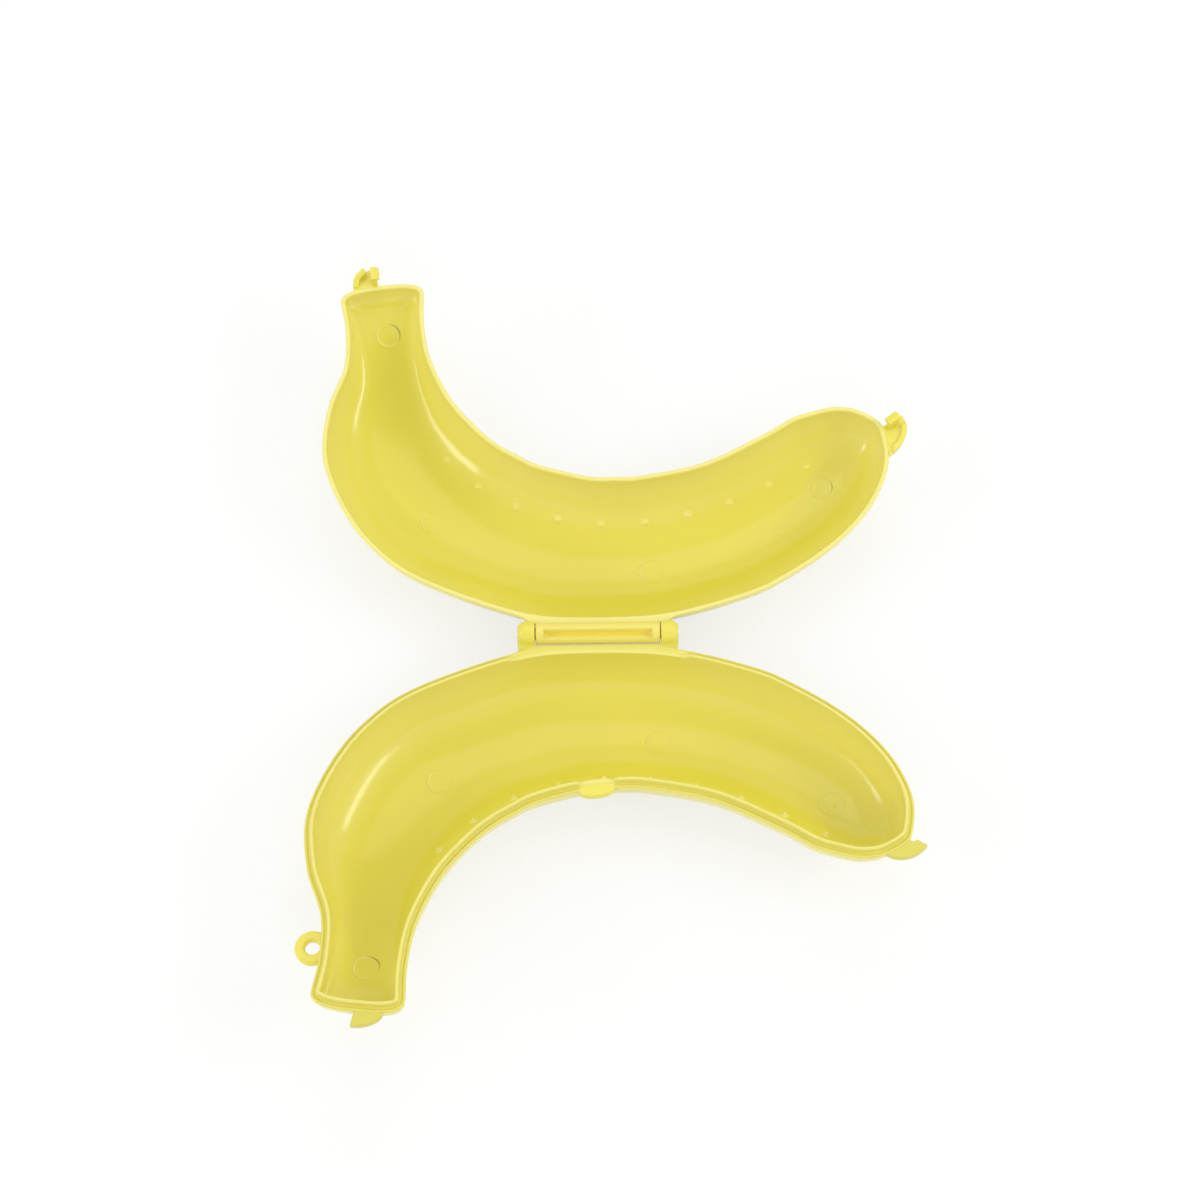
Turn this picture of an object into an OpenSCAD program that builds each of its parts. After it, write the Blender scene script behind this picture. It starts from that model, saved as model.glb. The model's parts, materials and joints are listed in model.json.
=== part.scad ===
// Hinged two-part carrying case for one banana, lying open.
// Each half is drawn in a frame of its own: x runs along the hinge axis from the middle of the hinge,
// v leads away from the hinge axis, and w points up out of the half from its rim.

/* [Case] */
// Length of a half along the hinge axis
case_length = 186; // [170:1:210]
// Reach of a half from its hinge side to its stem end
case_reach = 121; // [110:1:140]
// Depth of a half at its belly
half_depth = 22; // [19:0.5:26]
// Wall thickness of both shells
wall = 1.6; // [1.2:0.1:2.2]
// Tilt of each half above level while the case lies open
open_tilt = 5; // [1:0.5:8]

/* [Rim] */
// Height of the base's inner lip above its rim
lip_h = 1.6; // [1:0.1:2.4]
// Thickness of the lip
lip_t = 1.1; // [0.8:0.1:1.5]
// Depth of the lip's foot below the rim
lip_foot = 2.6; // [2:0.1:3.5]
// Length of the plain rim beside the hinge, without a lip
land_l = 58; // [54:1:66]

/* [Hinge] */
// Diameter of the lid's hinge barrel
barrel_d = 7; // [6.4:0.1:8]
// Length of the hinge barrel
barrel_l = 39.6; // [34:0.2:42]
// Thickness of the web that joins the barrel to the lid
web_t = 3.2; // [2.4:0.1:3.4]
// Length of the slot sunk into the barrel
slot_l = 34.5; // [28:0.5:36]
// Width of that slot
slot_w = 3; // [2:0.1:3.6]
// Depth of that slot
slot_depth = 1.4; // [0.6:0.1:1.6]
// Angle of that slot from the lid's rim plane normal, towards the base
slot_lean = 25; // [10:1:35]
// Diameter of the two stub pins
pin_d = 4; // [3:0.1:4.6]
// Width of each ear along the hinge axis
ear_w = 5.5; // [4.5:0.1:7]
// Thickness of each ear's arm below the rim
ear_arm_t = 4.8; // [3.5:0.1:6]
// How much further than the barrel an ear stands out from the axis
ear_margin = 0.4; // [0.2:0.1:0.8]

/* [Latches] */
// Width of each stem lug along the end of its half
lug_w = 8.6; // [7:0.1:10]
// Reach of the base's stem lug beyond the end of the shell
base_lug_reach = 4.6; // [4.2:0.1:5.2]
// Reach of the lid's stem lug beyond the end of the shell
lid_lug_reach = 6.4; // [5.6:0.1:7.6]
// How much wider and further the lugs at the tip are
tip_extra = 0.8; // [0:0.1:2]
// Thickness of each lug
lug_t = 2.2; // [1.6:0.1:3]
// How far the seam between the stem lugs lies from the middle, towards the outside of the bend
stem_split = 0.5; // [0.2:0.1:2]
// How far the seam between the tip lugs lies from the middle, towards the outside of the bend
tip_split = 1.4; // [0.4:0.1:2]
// How far that seam leans towards the lid's lug at its outer end
seam_lean = 0.6; // [0.4:0.1:0.8]
// Thickness of the springy catch on each lid lug
catch_t = 1.6; // [1.2:0.1:2]
// Length of that catch
catch_l = 4.6; // [3.6:0.1:5]
// How far its barb stands out
barb = 1.3; // [1.1:0.1:1.6]
// Height of the barb
barb_h = 1.5; // [1.2:0.1:2]

/* [Lanyard ring] */
// Diameter of the hole for a cord
ring_bore_d = 4.4; // [3:0.1:5]
// Outer diameter of the ring
ring_d = 10.6; // [9:0.1:12]
// Thickness of the ring
ring_t = 3; // [2:0.1:4]
// Material between the hole and the case
ring_web = 0.4; // [0.4:0.1:1.6]
// Depth of the ring's top below the rim
ring_drop = 4; // [1:0.5:7]

/* [Thumb tab] */
// Width of the tab
tab_w = 11; // [8:0.5:16]
// How far the tab stands out from the base
tab_reach = 2.6; // [1.2:0.1:3.4]
// Thickness of the tab
tab_t = 2.4; // [1.6:0.1:3]

/* [Grip nubs] */
// Number of nubs in each half
nub_count = 10; // [6:1:10]
// Distance from the hinge's middle to the first nub, along their row
nub_start = 57; // [50:0.5:58]
// Distance from nub to nub along their row
nub_pitch = 14.6; // [11:0.1:14.8]
// Diameter of a nub at its foot
nub_d = 2.4; // [1.6:0.1:3]
// Diameter of a nub at its top
nub_top_d = 1.4; // [0.8:0.1:1.6]
// Height of a nub
nub_h = 0.9; // [0.5:0.1:1.4]
// Depth of the row of nubs below the rim
nub_depth = 16; // [12:0.5:17]

/* [Clearances] */
// Gap between the two rims of the closed case
rim_gap = 0.3; // [0.2:0.05:0.5]
// Gap between the base's lip and the lid's wall
lip_gap = 0.3; // [0.25:0.05:0.5]
// Joint line between a shell and a feature on its outside
seat_gap = 0.15; // [0.1:0.01:0.25]
// Joint line between the neck's curved wall and the ring
ring_gap = 0.65; // [0.6:0.01:0.8]
// Joint line between a shell and a nub on its inside
nub_gap = 0.6; // [0.5:0.01:0.7]
// Gap between the hinge barrel and the base
barrel_gap = 0.5; // [0.4:0.05:0.8]
// Gap between the barrel and an ear, end to end
end_gap = 0.3; // [0.2:0.05:0.5]
// Radial running clearance of a pin in its ear
pin_gap = 0.05; // [0.03:0.01:0.1]
// Gap under a catch, in which it bends
flex_gap = 0.35; // [0.3:0.05:0.5]
// Gap between a barb and the lug that it holds
catch_gap = 0.3; // [0.2:0.05:0.5]
// Gap between two lugs side by side
latch_gap = 0.4; // [0.3:0.05:0.6]

/* [Hidden] */
$fn = 48;
plastic = "#E6D964";

// The ribs of the case, from the stem end to the tip: the edge inside the bend [x, v], the edge outside
// the bend [x, v], and the depth as a share of the belly's, drawn for the length and reach below.
drawn_length = 186;
drawn_reach = 121;
RIBS = [
    [-57.5, 118, -85.3, 114.5, 0.34],
    [-57.2, 107, -83.5, 104, 0.41],
    [-54.8, 94, -83.7, 91, 0.6],
    [-48.3, 80, -88.6, 76, 0.81],
    [-40.7, 70.3, -89.8, 58.5, 0.92],
    [-33.3, 63.3, -83.5, 41, 0.96],
    [-26.3, 58.8, -73.1, 26.3, 0.98],
    [-18.5, 54.8, -57, 14.1, 0.99],
    [-3, 50.7, -21, 0.8, 1],
    [6, 50.3, -0.5, 0, 1],
    [15, 50.7, 20, 0.5, 1],
    [35, 55, 51, 9.2, 0.98],
    [54.5, 64.5, 75.2, 22.7, 0.93],
    [66, 71.2, 90.3, 38.8, 0.81],
    [77, 74.4, 95.2, 50.8, 0.65]];
rib_steps = 3;

// Each end bulges beyond its last rib: bulge, and power of the rounded end (2 is an ellipse)
stem_bulge = 5;
stem_power = 2.8;
tip_bulge = 9.9;
tip_power = 1.5;
cap_steps = 8;
// The section is half an ellipse (power 2), and gets boxier from this rib to the stem end
boxy_ribs = 4;
boxy_power = 3.2;
// Stations from each end where the floor starts to rise
stem_rise = 1;
tip_rise = 4;
ring_steps = 7;

rim_drop = rim_gap / 2;
axis_to_wall = barrel_d / 2 + barrel_gap;
pin_l = ear_w - end_gap;
ear_r = barrel_d / 2 + ear_margin;
length_share = case_length / drawn_length;
reach_share = case_reach / drawn_reach;

// Smooth curve through a list of points, sampled evenly between them
function spline(p0, p1, p2, p3, t) =
    0.5 * (2 * p1 + (p2 - p0) * t + (2 * p0 - 5 * p1 + 4 * p2 - p3) * t * t
        + (3 * p1 - p0 - 3 * p2 + p3) * t * t * t);
function rib_before(i) = i > 0 ? ribs[i - 1] : 2 * ribs[0] - ribs[1];
function rib_after(i) = i < len(ribs) - 1 ? ribs[i + 1] : 2 * ribs[i] - ribs[i - 1];
function rib_at(s) =
    let (i = min(floor(s), len(ribs) - 2))
    spline(rib_before(i), ribs[i], ribs[i + 1], rib_after(i + 1), s - i);
function inside_edge(rib) = [rib[0], rib[1]];
function outside_edge(rib) = [rib[2], rib[3]];

ribs = [for (r = RIBS)
    [r[0] * length_share, r[1] * reach_share + axis_to_wall,
     r[2] * length_share, r[3] * reach_share + axis_to_wall, r[4] * half_depth]];
rib_last = len(ribs) - 1;
station_count = rib_last * rib_steps + 1;
stations = [for (k = [0 : station_count - 1]) rib_at(k / rib_steps)];

// A rounded end between two edge points: its middle, the vector to its far corner, its outward direction,
// its bulge and its power
function unit(p) = p / norm(p);
function right_of(p) = [p[1], -p[0]];
function end_cap(from, to, bulge, power) =
    [(from + to) / 2, (to - from) / 2, -right_of(unit(to - from)), bulge, power];
function cap_rise(cap, share) = cap[3] * pow(1 - pow(abs(share), cap[4]), 1 / cap[4]);
function cap_at(cap, share, lift) = cap[0] + cap[1] * share + cap[2] * (cap_rise(cap, share) + lift);
function signed_pow(c, power) = sign(c) * pow(abs(c), power);
function cap_points(cap) = [for (k = [1 : cap_steps - 1])
    cap_at(cap, -signed_pow(cos(180 * k / cap_steps), 2 / cap[4]), 0)];

stem_cap = end_cap(outside_edge(stations[0]), inside_edge(stations[0]), stem_bulge, stem_power);
tip_cap = end_cap(inside_edge(stations[station_count - 1]), outside_edge(stations[station_count - 1]),
    tip_bulge, tip_power);

// Outline of a half, clockwise from the stem end
outline = concat(cap_points(stem_cap), [for (s = stations) inside_edge(s)], cap_points(tip_cap),
    [for (k = [station_count - 1 : -1 : 0]) outside_edge(stations[k])]);
outline_count = len(outline);
function around(i) = (i + outline_count) % outline_count;
inward = [for (i = [0 : outline_count - 1]) right_of(unit(outline[around(i + 1)] - outline[around(i - 1)]))];

// Each outline point belongs to a station of the floor line, which stops short of both ends
cap_count = cap_steps - 1;
function station_of(i) =
    i < cap_count ? 0
    : i < cap_count + station_count ? i - cap_count
    : i < 2 * cap_count + station_count ? station_count - 1
    : outline_count - 1 - i;
floor_first = stem_rise;
floor_last = station_count - 1 - tip_rise;
floor_count = floor_last - floor_first + 1;
function floor_station(i) = min(max(station_of(i), floor_first), floor_last);
function floor_middle(k) = (inside_edge(stations[k]) + outside_edge(stations[k])) / 2;

// Half a section as shares of its width and depth, which one angle turns from the rim (0) to the floor (90)
function section_power(s) = 2 + (boxy_power - 2) * max(0, 1 - s / boxy_ribs);
function width_share(s, angle) = pow(cos(angle), 2 / section_power(s));
function depth_share(s, angle) = pow(sin(angle), 2 / section_power(s));
function angle_at(s, share) = asin(pow(share, section_power(s) / 2));

// A point of the outer or inner surface: inset from the outline, and turned down from the rim by an angle
function skin_point(i, inset, angle) =
    let (k = floor_station(i), s = k / rib_steps, middle = floor_middle(k),
        edge = outline[i] + inset * inward[i], p = middle + (edge - middle) * width_share(s, angle),
        depth = stations[k][4] - inset - rim_drop)
    [p[0], p[1], -rim_drop - depth * depth_share(s, angle)];
function skin_ring(inset, angle) = [for (i = [0 : outline_count - 1]) skin_point(i, inset, angle)];
function floor_line(inset) = [for (k = [floor_first : floor_last])
    let (middle = floor_middle(k)) [middle[0], middle[1], inset - stations[k][4]]];
function band_ring(inset, heights) = [for (i = [0 : outline_count - 1])
    let (p = outline[i] + inset * inward[i]) [p[0], p[1], heights[i]]];
function level(height) = [for (i = [0 : outline_count - 1]) height];

skin_step = 90 / ring_steps;
outer_rings = [for (k = [ring_steps - 1 : -1 : 0]) skin_ring(0, k * skin_step)];
lid_inner_rings = [for (k = [0 : ring_steps - 1]) skin_ring(wall, k * skin_step)];
base_inner_rings = [for (k = [2 : ring_steps - 1]) skin_ring(wall, k * skin_step)];

// The lip stops beside the hinge and at the thumb tab
lip_low = 0.1;
lip_inset = wall + lip_gap;
tab_rib = 8.2;
tab_x = inside_edge(rib_at(tab_rib))[0];
function beside_hinge(p) = abs(p[0]) < land_l / 2 && p[1] < axis_to_wall + half_depth;
function at_tab(p) = abs(p[0] - tab_x) < tab_w / 2 && p[1] > axis_to_wall + half_depth;
lip_tops = [for (p = outline) beside_hinge(p) || at_tab(p) ? lip_low - rim_drop : lip_h];
lip_rings = [band_ring(lip_inset, level(-rim_drop)), band_ring(lip_inset, lip_tops),
    band_ring(lip_inset + lip_t, lip_tops), band_ring(lip_inset + lip_t, level(-lip_foot))];

// Edge of the base along the thumb tab
tab_steps = 10;
tab_round = 0.5;
inside_line = [for (s = stations) if (s[1] < axis_to_wall + case_reach / 2) inside_edge(s)];
function tab_edge(k) = let (x = tab_x + tab_w * (k / tab_steps - 0.5)) [x, lookup(x, inside_line)];

// A closed shell from rings that run from the outer floor over the rim to the inner floor
module shell(rings) {
    count = outline_count;
    ring_points = [for (r = rings) each r];
    points = concat(ring_points, floor_line(0), floor_line(wall));
    outer_floor = len(ring_points);
    inner_floor = outer_floor + floor_count;
    last = (len(rings) - 1) * count;
    function floor_of(i) = floor_station(around(i)) - floor_first;
    side_faces = [for (r = [0 : len(rings) - 2]) for (i = [0 : count - 1])
        let (a = r * count + i, b = r * count + around(i + 1))
        each [[a, b, b + count], [a, b + count, a + count]]];
    outer_faces = [for (i = [0 : count - 1])
        let (a = i, b = around(i + 1), fa = outer_floor + floor_of(i), fb = outer_floor + floor_of(i + 1))
        each fa == fb ? [[b, a, fa]] : [[b, a, fa], [b, fa, fb]]];
    inner_faces = [for (i = [0 : count - 1])
        let (a = last + i, b = last + around(i + 1), fa = inner_floor + floor_of(i),
            fb = inner_floor + floor_of(i + 1))
        each fa == fb ? [[a, b, fa]] : [[a, b, fb], [a, fb, fa]]];
    polyhedron(points, concat(side_faces, outer_faces, inner_faces));
}

// Where the hinge side of the outline lies at a given x
hinge_side = [for (s = stations) if (s[3] < axis_to_wall + half_depth) outside_edge(s)];
function wall_at(x) = lookup(x, hinge_side) - seat_gap;

// Plan of a web from the hinge axis to the hinge side, between two places along the axis
web_steps = 18;
module web(from, to, depth)
    translate([0, 0, -rim_drop - depth])
    linear_extrude(depth)
    polygon(concat([[to, 0], [from, 0]],
        [for (k = [0 : web_steps]) let (x = from + (to - from) * k / web_steps) [x, wall_at(x)]]));
module along_axis(from, to, r)
    translate([from, 0, 0])
    rotate([0, 90, 0])
    cylinder(h = to - from, r = r);

// Plan of a latch lug on an end cap: side is +1 or -1 along the cap, and seam is where its straight edge starts
lug_steps = 8;
function cap_share(cap, along) = along / norm(cap[1]);
function lug_at(cap, along, lift) = cap[0] + unit(cap[1]) * along + cap[2] * (cap[3] + lift);
function lug_points(cap, side, seam, width, reach, lean) =
    let (root_lift = cap_rise(cap, cap_share(cap, seam + side * width)) - cap[3] + seat_gap)
    concat(
        [for (k = [0 : lug_steps])
            cap_at(cap, cap_share(cap, seam + side * width * (1 - k / lug_steps)), seat_gap)],
        [for (k = [0 : lug_steps - 1])
            let (turn = 90 * k / lug_steps)
            lug_at(cap, seam + lean * cos(turn) + side * width * sin(turn),
                root_lift + (reach - root_lift) * cos(turn))]);
module lug(points)
    translate([0, 0, -rim_drop - lug_t])
    linear_extrude(lug_t)
    polygon(points);

// The outside of the bend is at the start of the stem's cap and at the end of the tip's cap
stem_side = -1;
tip_side = 1;
function seam_of(side, half_side) =
    side * (side == stem_side ? stem_split : tip_split) + half_side * latch_gap / 2;
function base_lug(cap, side, extra) = lug_points(cap, -side, seam_of(side, -side), lug_w + extra,
    base_lug_reach + extra, side * seam_lean);
function lid_lug(cap, side, extra) = lug_points(cap, side, seam_of(side, side), lug_w + extra,
    lid_lug_reach + extra, side * seam_lean);
base_stem_points = base_lug(stem_cap, stem_side, 0);
base_tip_points = base_lug(tip_cap, tip_side, tip_extra);
lid_stem_points = lid_lug(stem_cap, stem_side, 0);
lid_tip_points = lid_lug(tip_cap, tip_side, tip_extra);

// A springy catch stands on a lid lug beside the seam, and its barb reaches past the seam
catch_start = 0.4;
barb_low = rim_drop + lug_t + catch_gap;
barb_slope = 0.3;
catch_top = barb_low + barb_h;
catch_foot = flex_gap - rim_drop;
module catch(cap, side) {
    across = unit(cap[1]) * side;
    foot = lug_at(cap, seam_of(side, side) + side * seam_lean, catch_start);
    multmatrix([
        [across[0], 0, -cap[2][0], foot[0] + cap[2][0] * catch_l],
        [across[1], 0, -cap[2][1], foot[1] + cap[2][1] * catch_l],
        [0, 1, 0, 0]])
    linear_extrude(catch_l)
    polygon([[0, catch_foot], [0, barb_low], [-barb, barb_low + barb_slope], [-barb, barb_low + 2 * barb_slope],
        [0, catch_top], [catch_t, catch_top], [catch_t, catch_foot]]);
}

// Ring for a cord, on the outside of the bend at the neck, where the wall has curved in below the rim
ring_s = 1.33;
ring_rib = rib_at(ring_s);
ring_out = unit(outside_edge(ring_rib) - inside_edge(ring_rib));
ring_half_w = norm(outside_edge(ring_rib) - inside_edge(ring_rib)) / 2;
ring_angle = angle_at(ring_s, ring_drop / ring_rib[4]);
ring_wall = outside_edge(ring_rib) - ring_out * ring_half_w * (1 - width_share(ring_s, ring_angle));
ring_offset = ring_bore_d / 2 + ring_web + ring_gap;
ring_middle = ring_wall + ring_out * ring_offset;

// Nubs along the inside of the bend, evenly spaced along their row
function nub_angle(rib) = asin(min(nub_depth / (rib[4] - wall), 0.9));
function nub_reach(rib) =
    let (across = (inside_edge(rib) - outside_edge(rib)) / 2)
    across - wall * unit(across);
function nub_foot(rib) =
    (inside_edge(rib) + outside_edge(rib)) / 2 + nub_reach(rib) * cos(nub_angle(rib));
nub_feet = [for (s = stations) nub_foot(s)];
row_lengths = [for (k = 0, length = 0; k < station_count;
    length = length + (k < station_count - 1 ? norm(nub_feet[k + 1] - nub_feet[k]) : 0), k = k + 1) length];
row_middle = lookup(0, [for (k = [0 : station_count - 1]) [nub_feet[k][0], row_lengths[k]]]);
row_ribs = [for (k = [0 : station_count - 1]) [row_lengths[k] - row_middle, k / rib_steps]];
module nub(rib) {
    angle = nub_angle(rib);
    reach = nub_reach(rib);
    deep = rib[4] - wall - rim_drop;
    foot = nub_foot(rib);
    lean = atan2(cos(angle) / norm(reach), sin(angle) / deep);
    translate([foot[0], foot[1], -rim_drop - deep * sin(angle)])
    rotate([0, 0, atan2(-reach[1], -reach[0])])
    rotate([0, lean, 0])
    translate([0, 0, nub_gap])
    cylinder(h = nub_h, d1 = nub_d, d2 = nub_top_d);
}
module grip_nubs()
    for (k = [0 : nub_count - 1])
        nub(rib_at(lookup(k * nub_pitch - nub_start, row_ribs)));

// The case lies on its two bellies, and its origin is under the middle of its plan
function column(points, k) = [for (p = points) p[k]];
outer_points = concat([for (r = outer_rings) each r], floor_line(0));
axis_z = -min([for (p = outer_points) p[1] * sin(open_tilt) + p[2] * cos(open_tilt)]);
x_min = min(concat(column(outline, 0), [ring_middle[0] - ring_d / 2]));
x_max = max(concat(column(outline, 0), column(lid_tip_points, 0), column(base_tip_points, 0)));
mid_x = (x_min + x_max) / 2;
mid_y = (max(column(lid_stem_points, 1)) - max(column(base_stem_points, 1))) / 2 * cos(open_tilt);
module lid_frame()
    translate([-mid_x, -mid_y, axis_z])
    rotate([open_tilt, 0, 0])
    children();
module base_frame()
    translate([-mid_x, -mid_y, axis_z])
    mirror([0, 1, 0])
    rotate([open_tilt, 0, 0])
    children();

module base_shell()
    color(plastic)
    base_frame()
    shell(concat(outer_rings, lip_rings, base_inner_rings));

module hinge_ear(from)
    color(plastic)
    base_frame()
    difference() {
        union() {
            along_axis(from, from + ear_w, ear_r);
            web(from, from + ear_w, ear_arm_t);
        }
        along_axis(from - ear_w, from + 2 * ear_w, pin_d / 2 + pin_gap);
    }
module hinge_ear_left() hinge_ear(-barrel_l / 2 - end_gap - ear_w);
module hinge_ear_right() hinge_ear(barrel_l / 2 + end_gap);

module lanyard_ring()
    color(plastic)
    base_frame()
    translate([ring_middle[0], ring_middle[1], -ring_drop - ring_t])
    rotate([0, 0, atan2(ring_out[1], ring_out[0])])
    difference() {
        cylinder(h = ring_t, d = ring_d);
        translate([0, 0, -ring_t])
        cylinder(h = 3 * ring_t, d = ring_bore_d);
        translate([-ring_d - ring_offset + ring_gap, -ring_d, -ring_t])
        cube([ring_d, 2 * ring_d, 3 * ring_t]);
    }

module thumb_tab()
    color(plastic)
    base_frame()
    translate([0, 0, -rim_drop - tab_t])
    linear_extrude(tab_t)
    polygon(concat(
        [for (k = [0 : tab_steps]) tab_edge(k) + [0, seat_gap]],
        [for (k = [tab_steps - 1 : -1 : 1])
            tab_edge(k) + [0, seat_gap + tab_reach * pow(sin(180 * k / tab_steps), tab_round)]]));
module base_stem_lug()
    color(plastic)
    base_frame()
    lug(base_stem_points);

module base_tip_lug()
    color(plastic)
    base_frame()
    lug(base_tip_points);

module base_grip_nubs()
    color(plastic)
    base_frame()
    grip_nubs();

module lid_shell()
    color(plastic)
    lid_frame()
    shell(concat(outer_rings, lid_inner_rings));

module lid_hinge_barrel()
    color(plastic)
    lid_frame()
    difference() {
        union() {
            along_axis(-barrel_l / 2, barrel_l / 2, barrel_d / 2);
            web(-barrel_l / 2, barrel_l / 2, web_t);
        }
        rotate([slot_lean, 0, 0])
        translate([-slot_l / 2, -slot_w / 2, barrel_d / 2 - slot_depth])
        cube([slot_l, slot_w, barrel_d]);
    }

module hinge_pin_left()
    color(plastic)
    lid_frame()
    along_axis(-barrel_l / 2 - end_gap - pin_l, -barrel_l / 2, pin_d / 2);
module hinge_pin_right()
    color(plastic)
    lid_frame()
    along_axis(barrel_l / 2, barrel_l / 2 + end_gap + pin_l, pin_d / 2);

module lid_stem_lug()
    color(plastic)
    lid_frame()
    lug(lid_stem_points);

module lid_tip_lug()
    color(plastic)
    lid_frame()
    lug(lid_tip_points);

module lid_stem_catch()
    color(plastic)
    lid_frame()
    catch(stem_cap, stem_side);

module lid_tip_catch()
    color(plastic)
    lid_frame()
    catch(tip_cap, tip_side);

module lid_grip_nubs()
    color(plastic)
    lid_frame()
    grip_nubs();

base_shell();
hinge_ear_left();
hinge_ear_right();
lanyard_ring();
thumb_tab();
base_stem_lug();
base_tip_lug();
base_grip_nubs();
lid_shell();
lid_hinge_barrel();
hinge_pin_left();
hinge_pin_right();
lid_stem_lug();
lid_tip_lug();
lid_stem_catch();
lid_tip_catch();
lid_grip_nubs();
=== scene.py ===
# %% [markdown]
# A banana carrying case, lying open on a pale table.
# The real one is two yellow injection mouldings that snap together at a hinge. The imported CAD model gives
# every size, place and joint. This lesson dresses each of its pieces: rounded rims, soft edges, small
# moulding marks and a glossy plastic.

# %% Load the frame
import json
import math
from collections import namedtuple

import bmesh
import bpy
import numpy as np
from mathutils import Matrix, Vector
from mathutils.bvhtree import BVHTree


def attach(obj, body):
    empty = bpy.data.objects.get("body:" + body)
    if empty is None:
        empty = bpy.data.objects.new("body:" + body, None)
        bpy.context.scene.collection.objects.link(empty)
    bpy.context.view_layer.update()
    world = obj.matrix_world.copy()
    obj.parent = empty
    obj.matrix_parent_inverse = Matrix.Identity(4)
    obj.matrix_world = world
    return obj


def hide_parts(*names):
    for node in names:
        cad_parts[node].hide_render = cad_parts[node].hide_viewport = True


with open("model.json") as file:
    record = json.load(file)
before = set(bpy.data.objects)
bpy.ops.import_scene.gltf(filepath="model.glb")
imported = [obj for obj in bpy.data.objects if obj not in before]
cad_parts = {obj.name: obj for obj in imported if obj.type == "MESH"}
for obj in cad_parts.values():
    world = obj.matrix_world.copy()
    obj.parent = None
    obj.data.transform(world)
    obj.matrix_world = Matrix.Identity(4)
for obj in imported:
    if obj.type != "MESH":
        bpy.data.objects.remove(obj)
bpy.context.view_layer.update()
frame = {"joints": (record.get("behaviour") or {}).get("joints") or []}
MM = 0.001

# %% [markdown]
# Both halves are easiest to draw in a frame of their own, in millimetres: x runs along the hinge, v leads
# away from it, and w points up out of the half from its rim. One function then lays such points into the
# open case. The base is the mirror image of the lid, and both lie tilted, because each rests on its
# belly. Turning whole objects would do the same, but this way every mesh stays in the frame's own metres.

# %% Place the points of a half
OPEN_TILT = math.radians(5)
HINGE = next(joint for joint in frame["joints"] if joint["name"] == "lid_hinge")
HINGE_MIDDLE = np.array(HINGE["pos_m"])
SIDE = {"lid": 1, "base": -1}


def place(points, half):
    """Points (x, v, w) of a half, in millimetres, as points of the row frame, in metres."""
    x, v, w = np.asarray(points, float).T
    out = v * math.cos(OPEN_TILT) - w * math.sin(OPEN_TILT)
    up = v * math.sin(OPEN_TILT) + w * math.cos(OPEN_TILT)
    return HINGE_MIDDLE + MM * np.column_stack([x, SIDE[half] * out, up])


print("hinge middle in millimetres:", np.round(HINGE_MIDDLE / MM, 2))

# %% [markdown]
# The plastic is a polypropylene with a soft gloss. A moulding is never one flat colour: the pigment
# swirls a little as the melt flows, the gloss changes over the tool's polish, and a very fine ripple
# breaks up reflections. Noise of three scales gives these, in object coordinates, so it stays on the
# piece. Each helper adds a node or two to a material and hands on the socket that the next node reads.

# %% Nodes for the plastic
SWIRL = (22, 3)
POLISH = (140, 4)
RIPPLE = (420, 2)
SWIRL_STOPS = (0.3, 0.7)


def noise(tree, scale, detail):
    """Noise that is fixed to the piece."""
    place_on = tree.nodes.new("ShaderNodeTexCoord")
    texture = tree.nodes.new("ShaderNodeTexNoise")
    texture.inputs["Scale"].default_value = scale
    texture.inputs["Detail"].default_value = detail
    tree.links.new(place_on.outputs["Object"], texture.inputs["Vector"])
    return texture.outputs["Fac"]


def swirl(tree, factor, low, high):
    """A colour between low and high."""
    ramp = tree.nodes.new("ShaderNodeValToRGB")
    for stop, position, colour in zip(ramp.color_ramp.elements, SWIRL_STOPS, (low, high)):
        stop.position = position
        stop.color = colour
    tree.links.new(factor, ramp.inputs["Fac"])
    return ramp.outputs["Color"]


def span(tree, factor, low, high):
    """A factor from 0 to 1 as a value from low to high."""
    value = tree.nodes.new("ShaderNodeMapRange")
    value.inputs["To Min"].default_value = low
    value.inputs["To Max"].default_value = high
    tree.links.new(factor, value.inputs["Value"])
    return value.outputs["Result"]


def tinted(tree, colour, factor, tint_colour):
    """A colour with a share of a tint mixed in."""
    tint = tree.nodes.new("ShaderNodeMix")
    tint.data_type = "RGBA"
    tree.links.new(factor, tint.inputs["Factor"])
    tree.links.new(colour, tint.inputs["A"])
    tint.inputs["B"].default_value = tint_colour
    return tint.outputs["Result"]


for use, size in {"swirl": SWIRL, "polish": POLISH, "ripple": RIPPLE}.items():
    print("the", use, "is about", round(1 / size[0] / MM, 1), "mm wide")

# %% [markdown]
# The floor of the real base has a faint warm patch. A painted mask could tint it, but needs an image. A
# spherical gradient does without: it is 1 at its middle and fades to 0 at its edge, and a mapping moves
# and stretches it to the right place.

# %% The warm patch
WARM_LEMON = (0.83, 0.65, 0.05, 1)
WARM_SIZE = (0.012, 0.007, 0.02)
WARM_SHARE = 0.6


def warm_patch(tree, colour, middle):
    """The colour with a faint warm patch round a place of the row frame."""
    place_on = tree.nodes.new("ShaderNodeTexCoord")
    shift = tree.nodes.new("ShaderNodeMapping")
    shift.vector_type = "TEXTURE"
    shift.inputs["Location"].default_value = middle
    shift.inputs["Scale"].default_value = WARM_SIZE
    tree.links.new(place_on.outputs["Object"], shift.inputs["Vector"])
    ball = tree.nodes.new("ShaderNodeTexGradient")
    ball.gradient_type = "SPHERICAL"
    tree.links.new(shift.outputs["Vector"], ball.inputs["Vector"])
    return tinted(tree, colour, span(tree, ball.outputs["Fac"], 0, WARM_SHARE), WARM_LEMON)


print("the warm patch is", round(2 * WARM_SIZE[0] / MM), "mm long")
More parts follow.
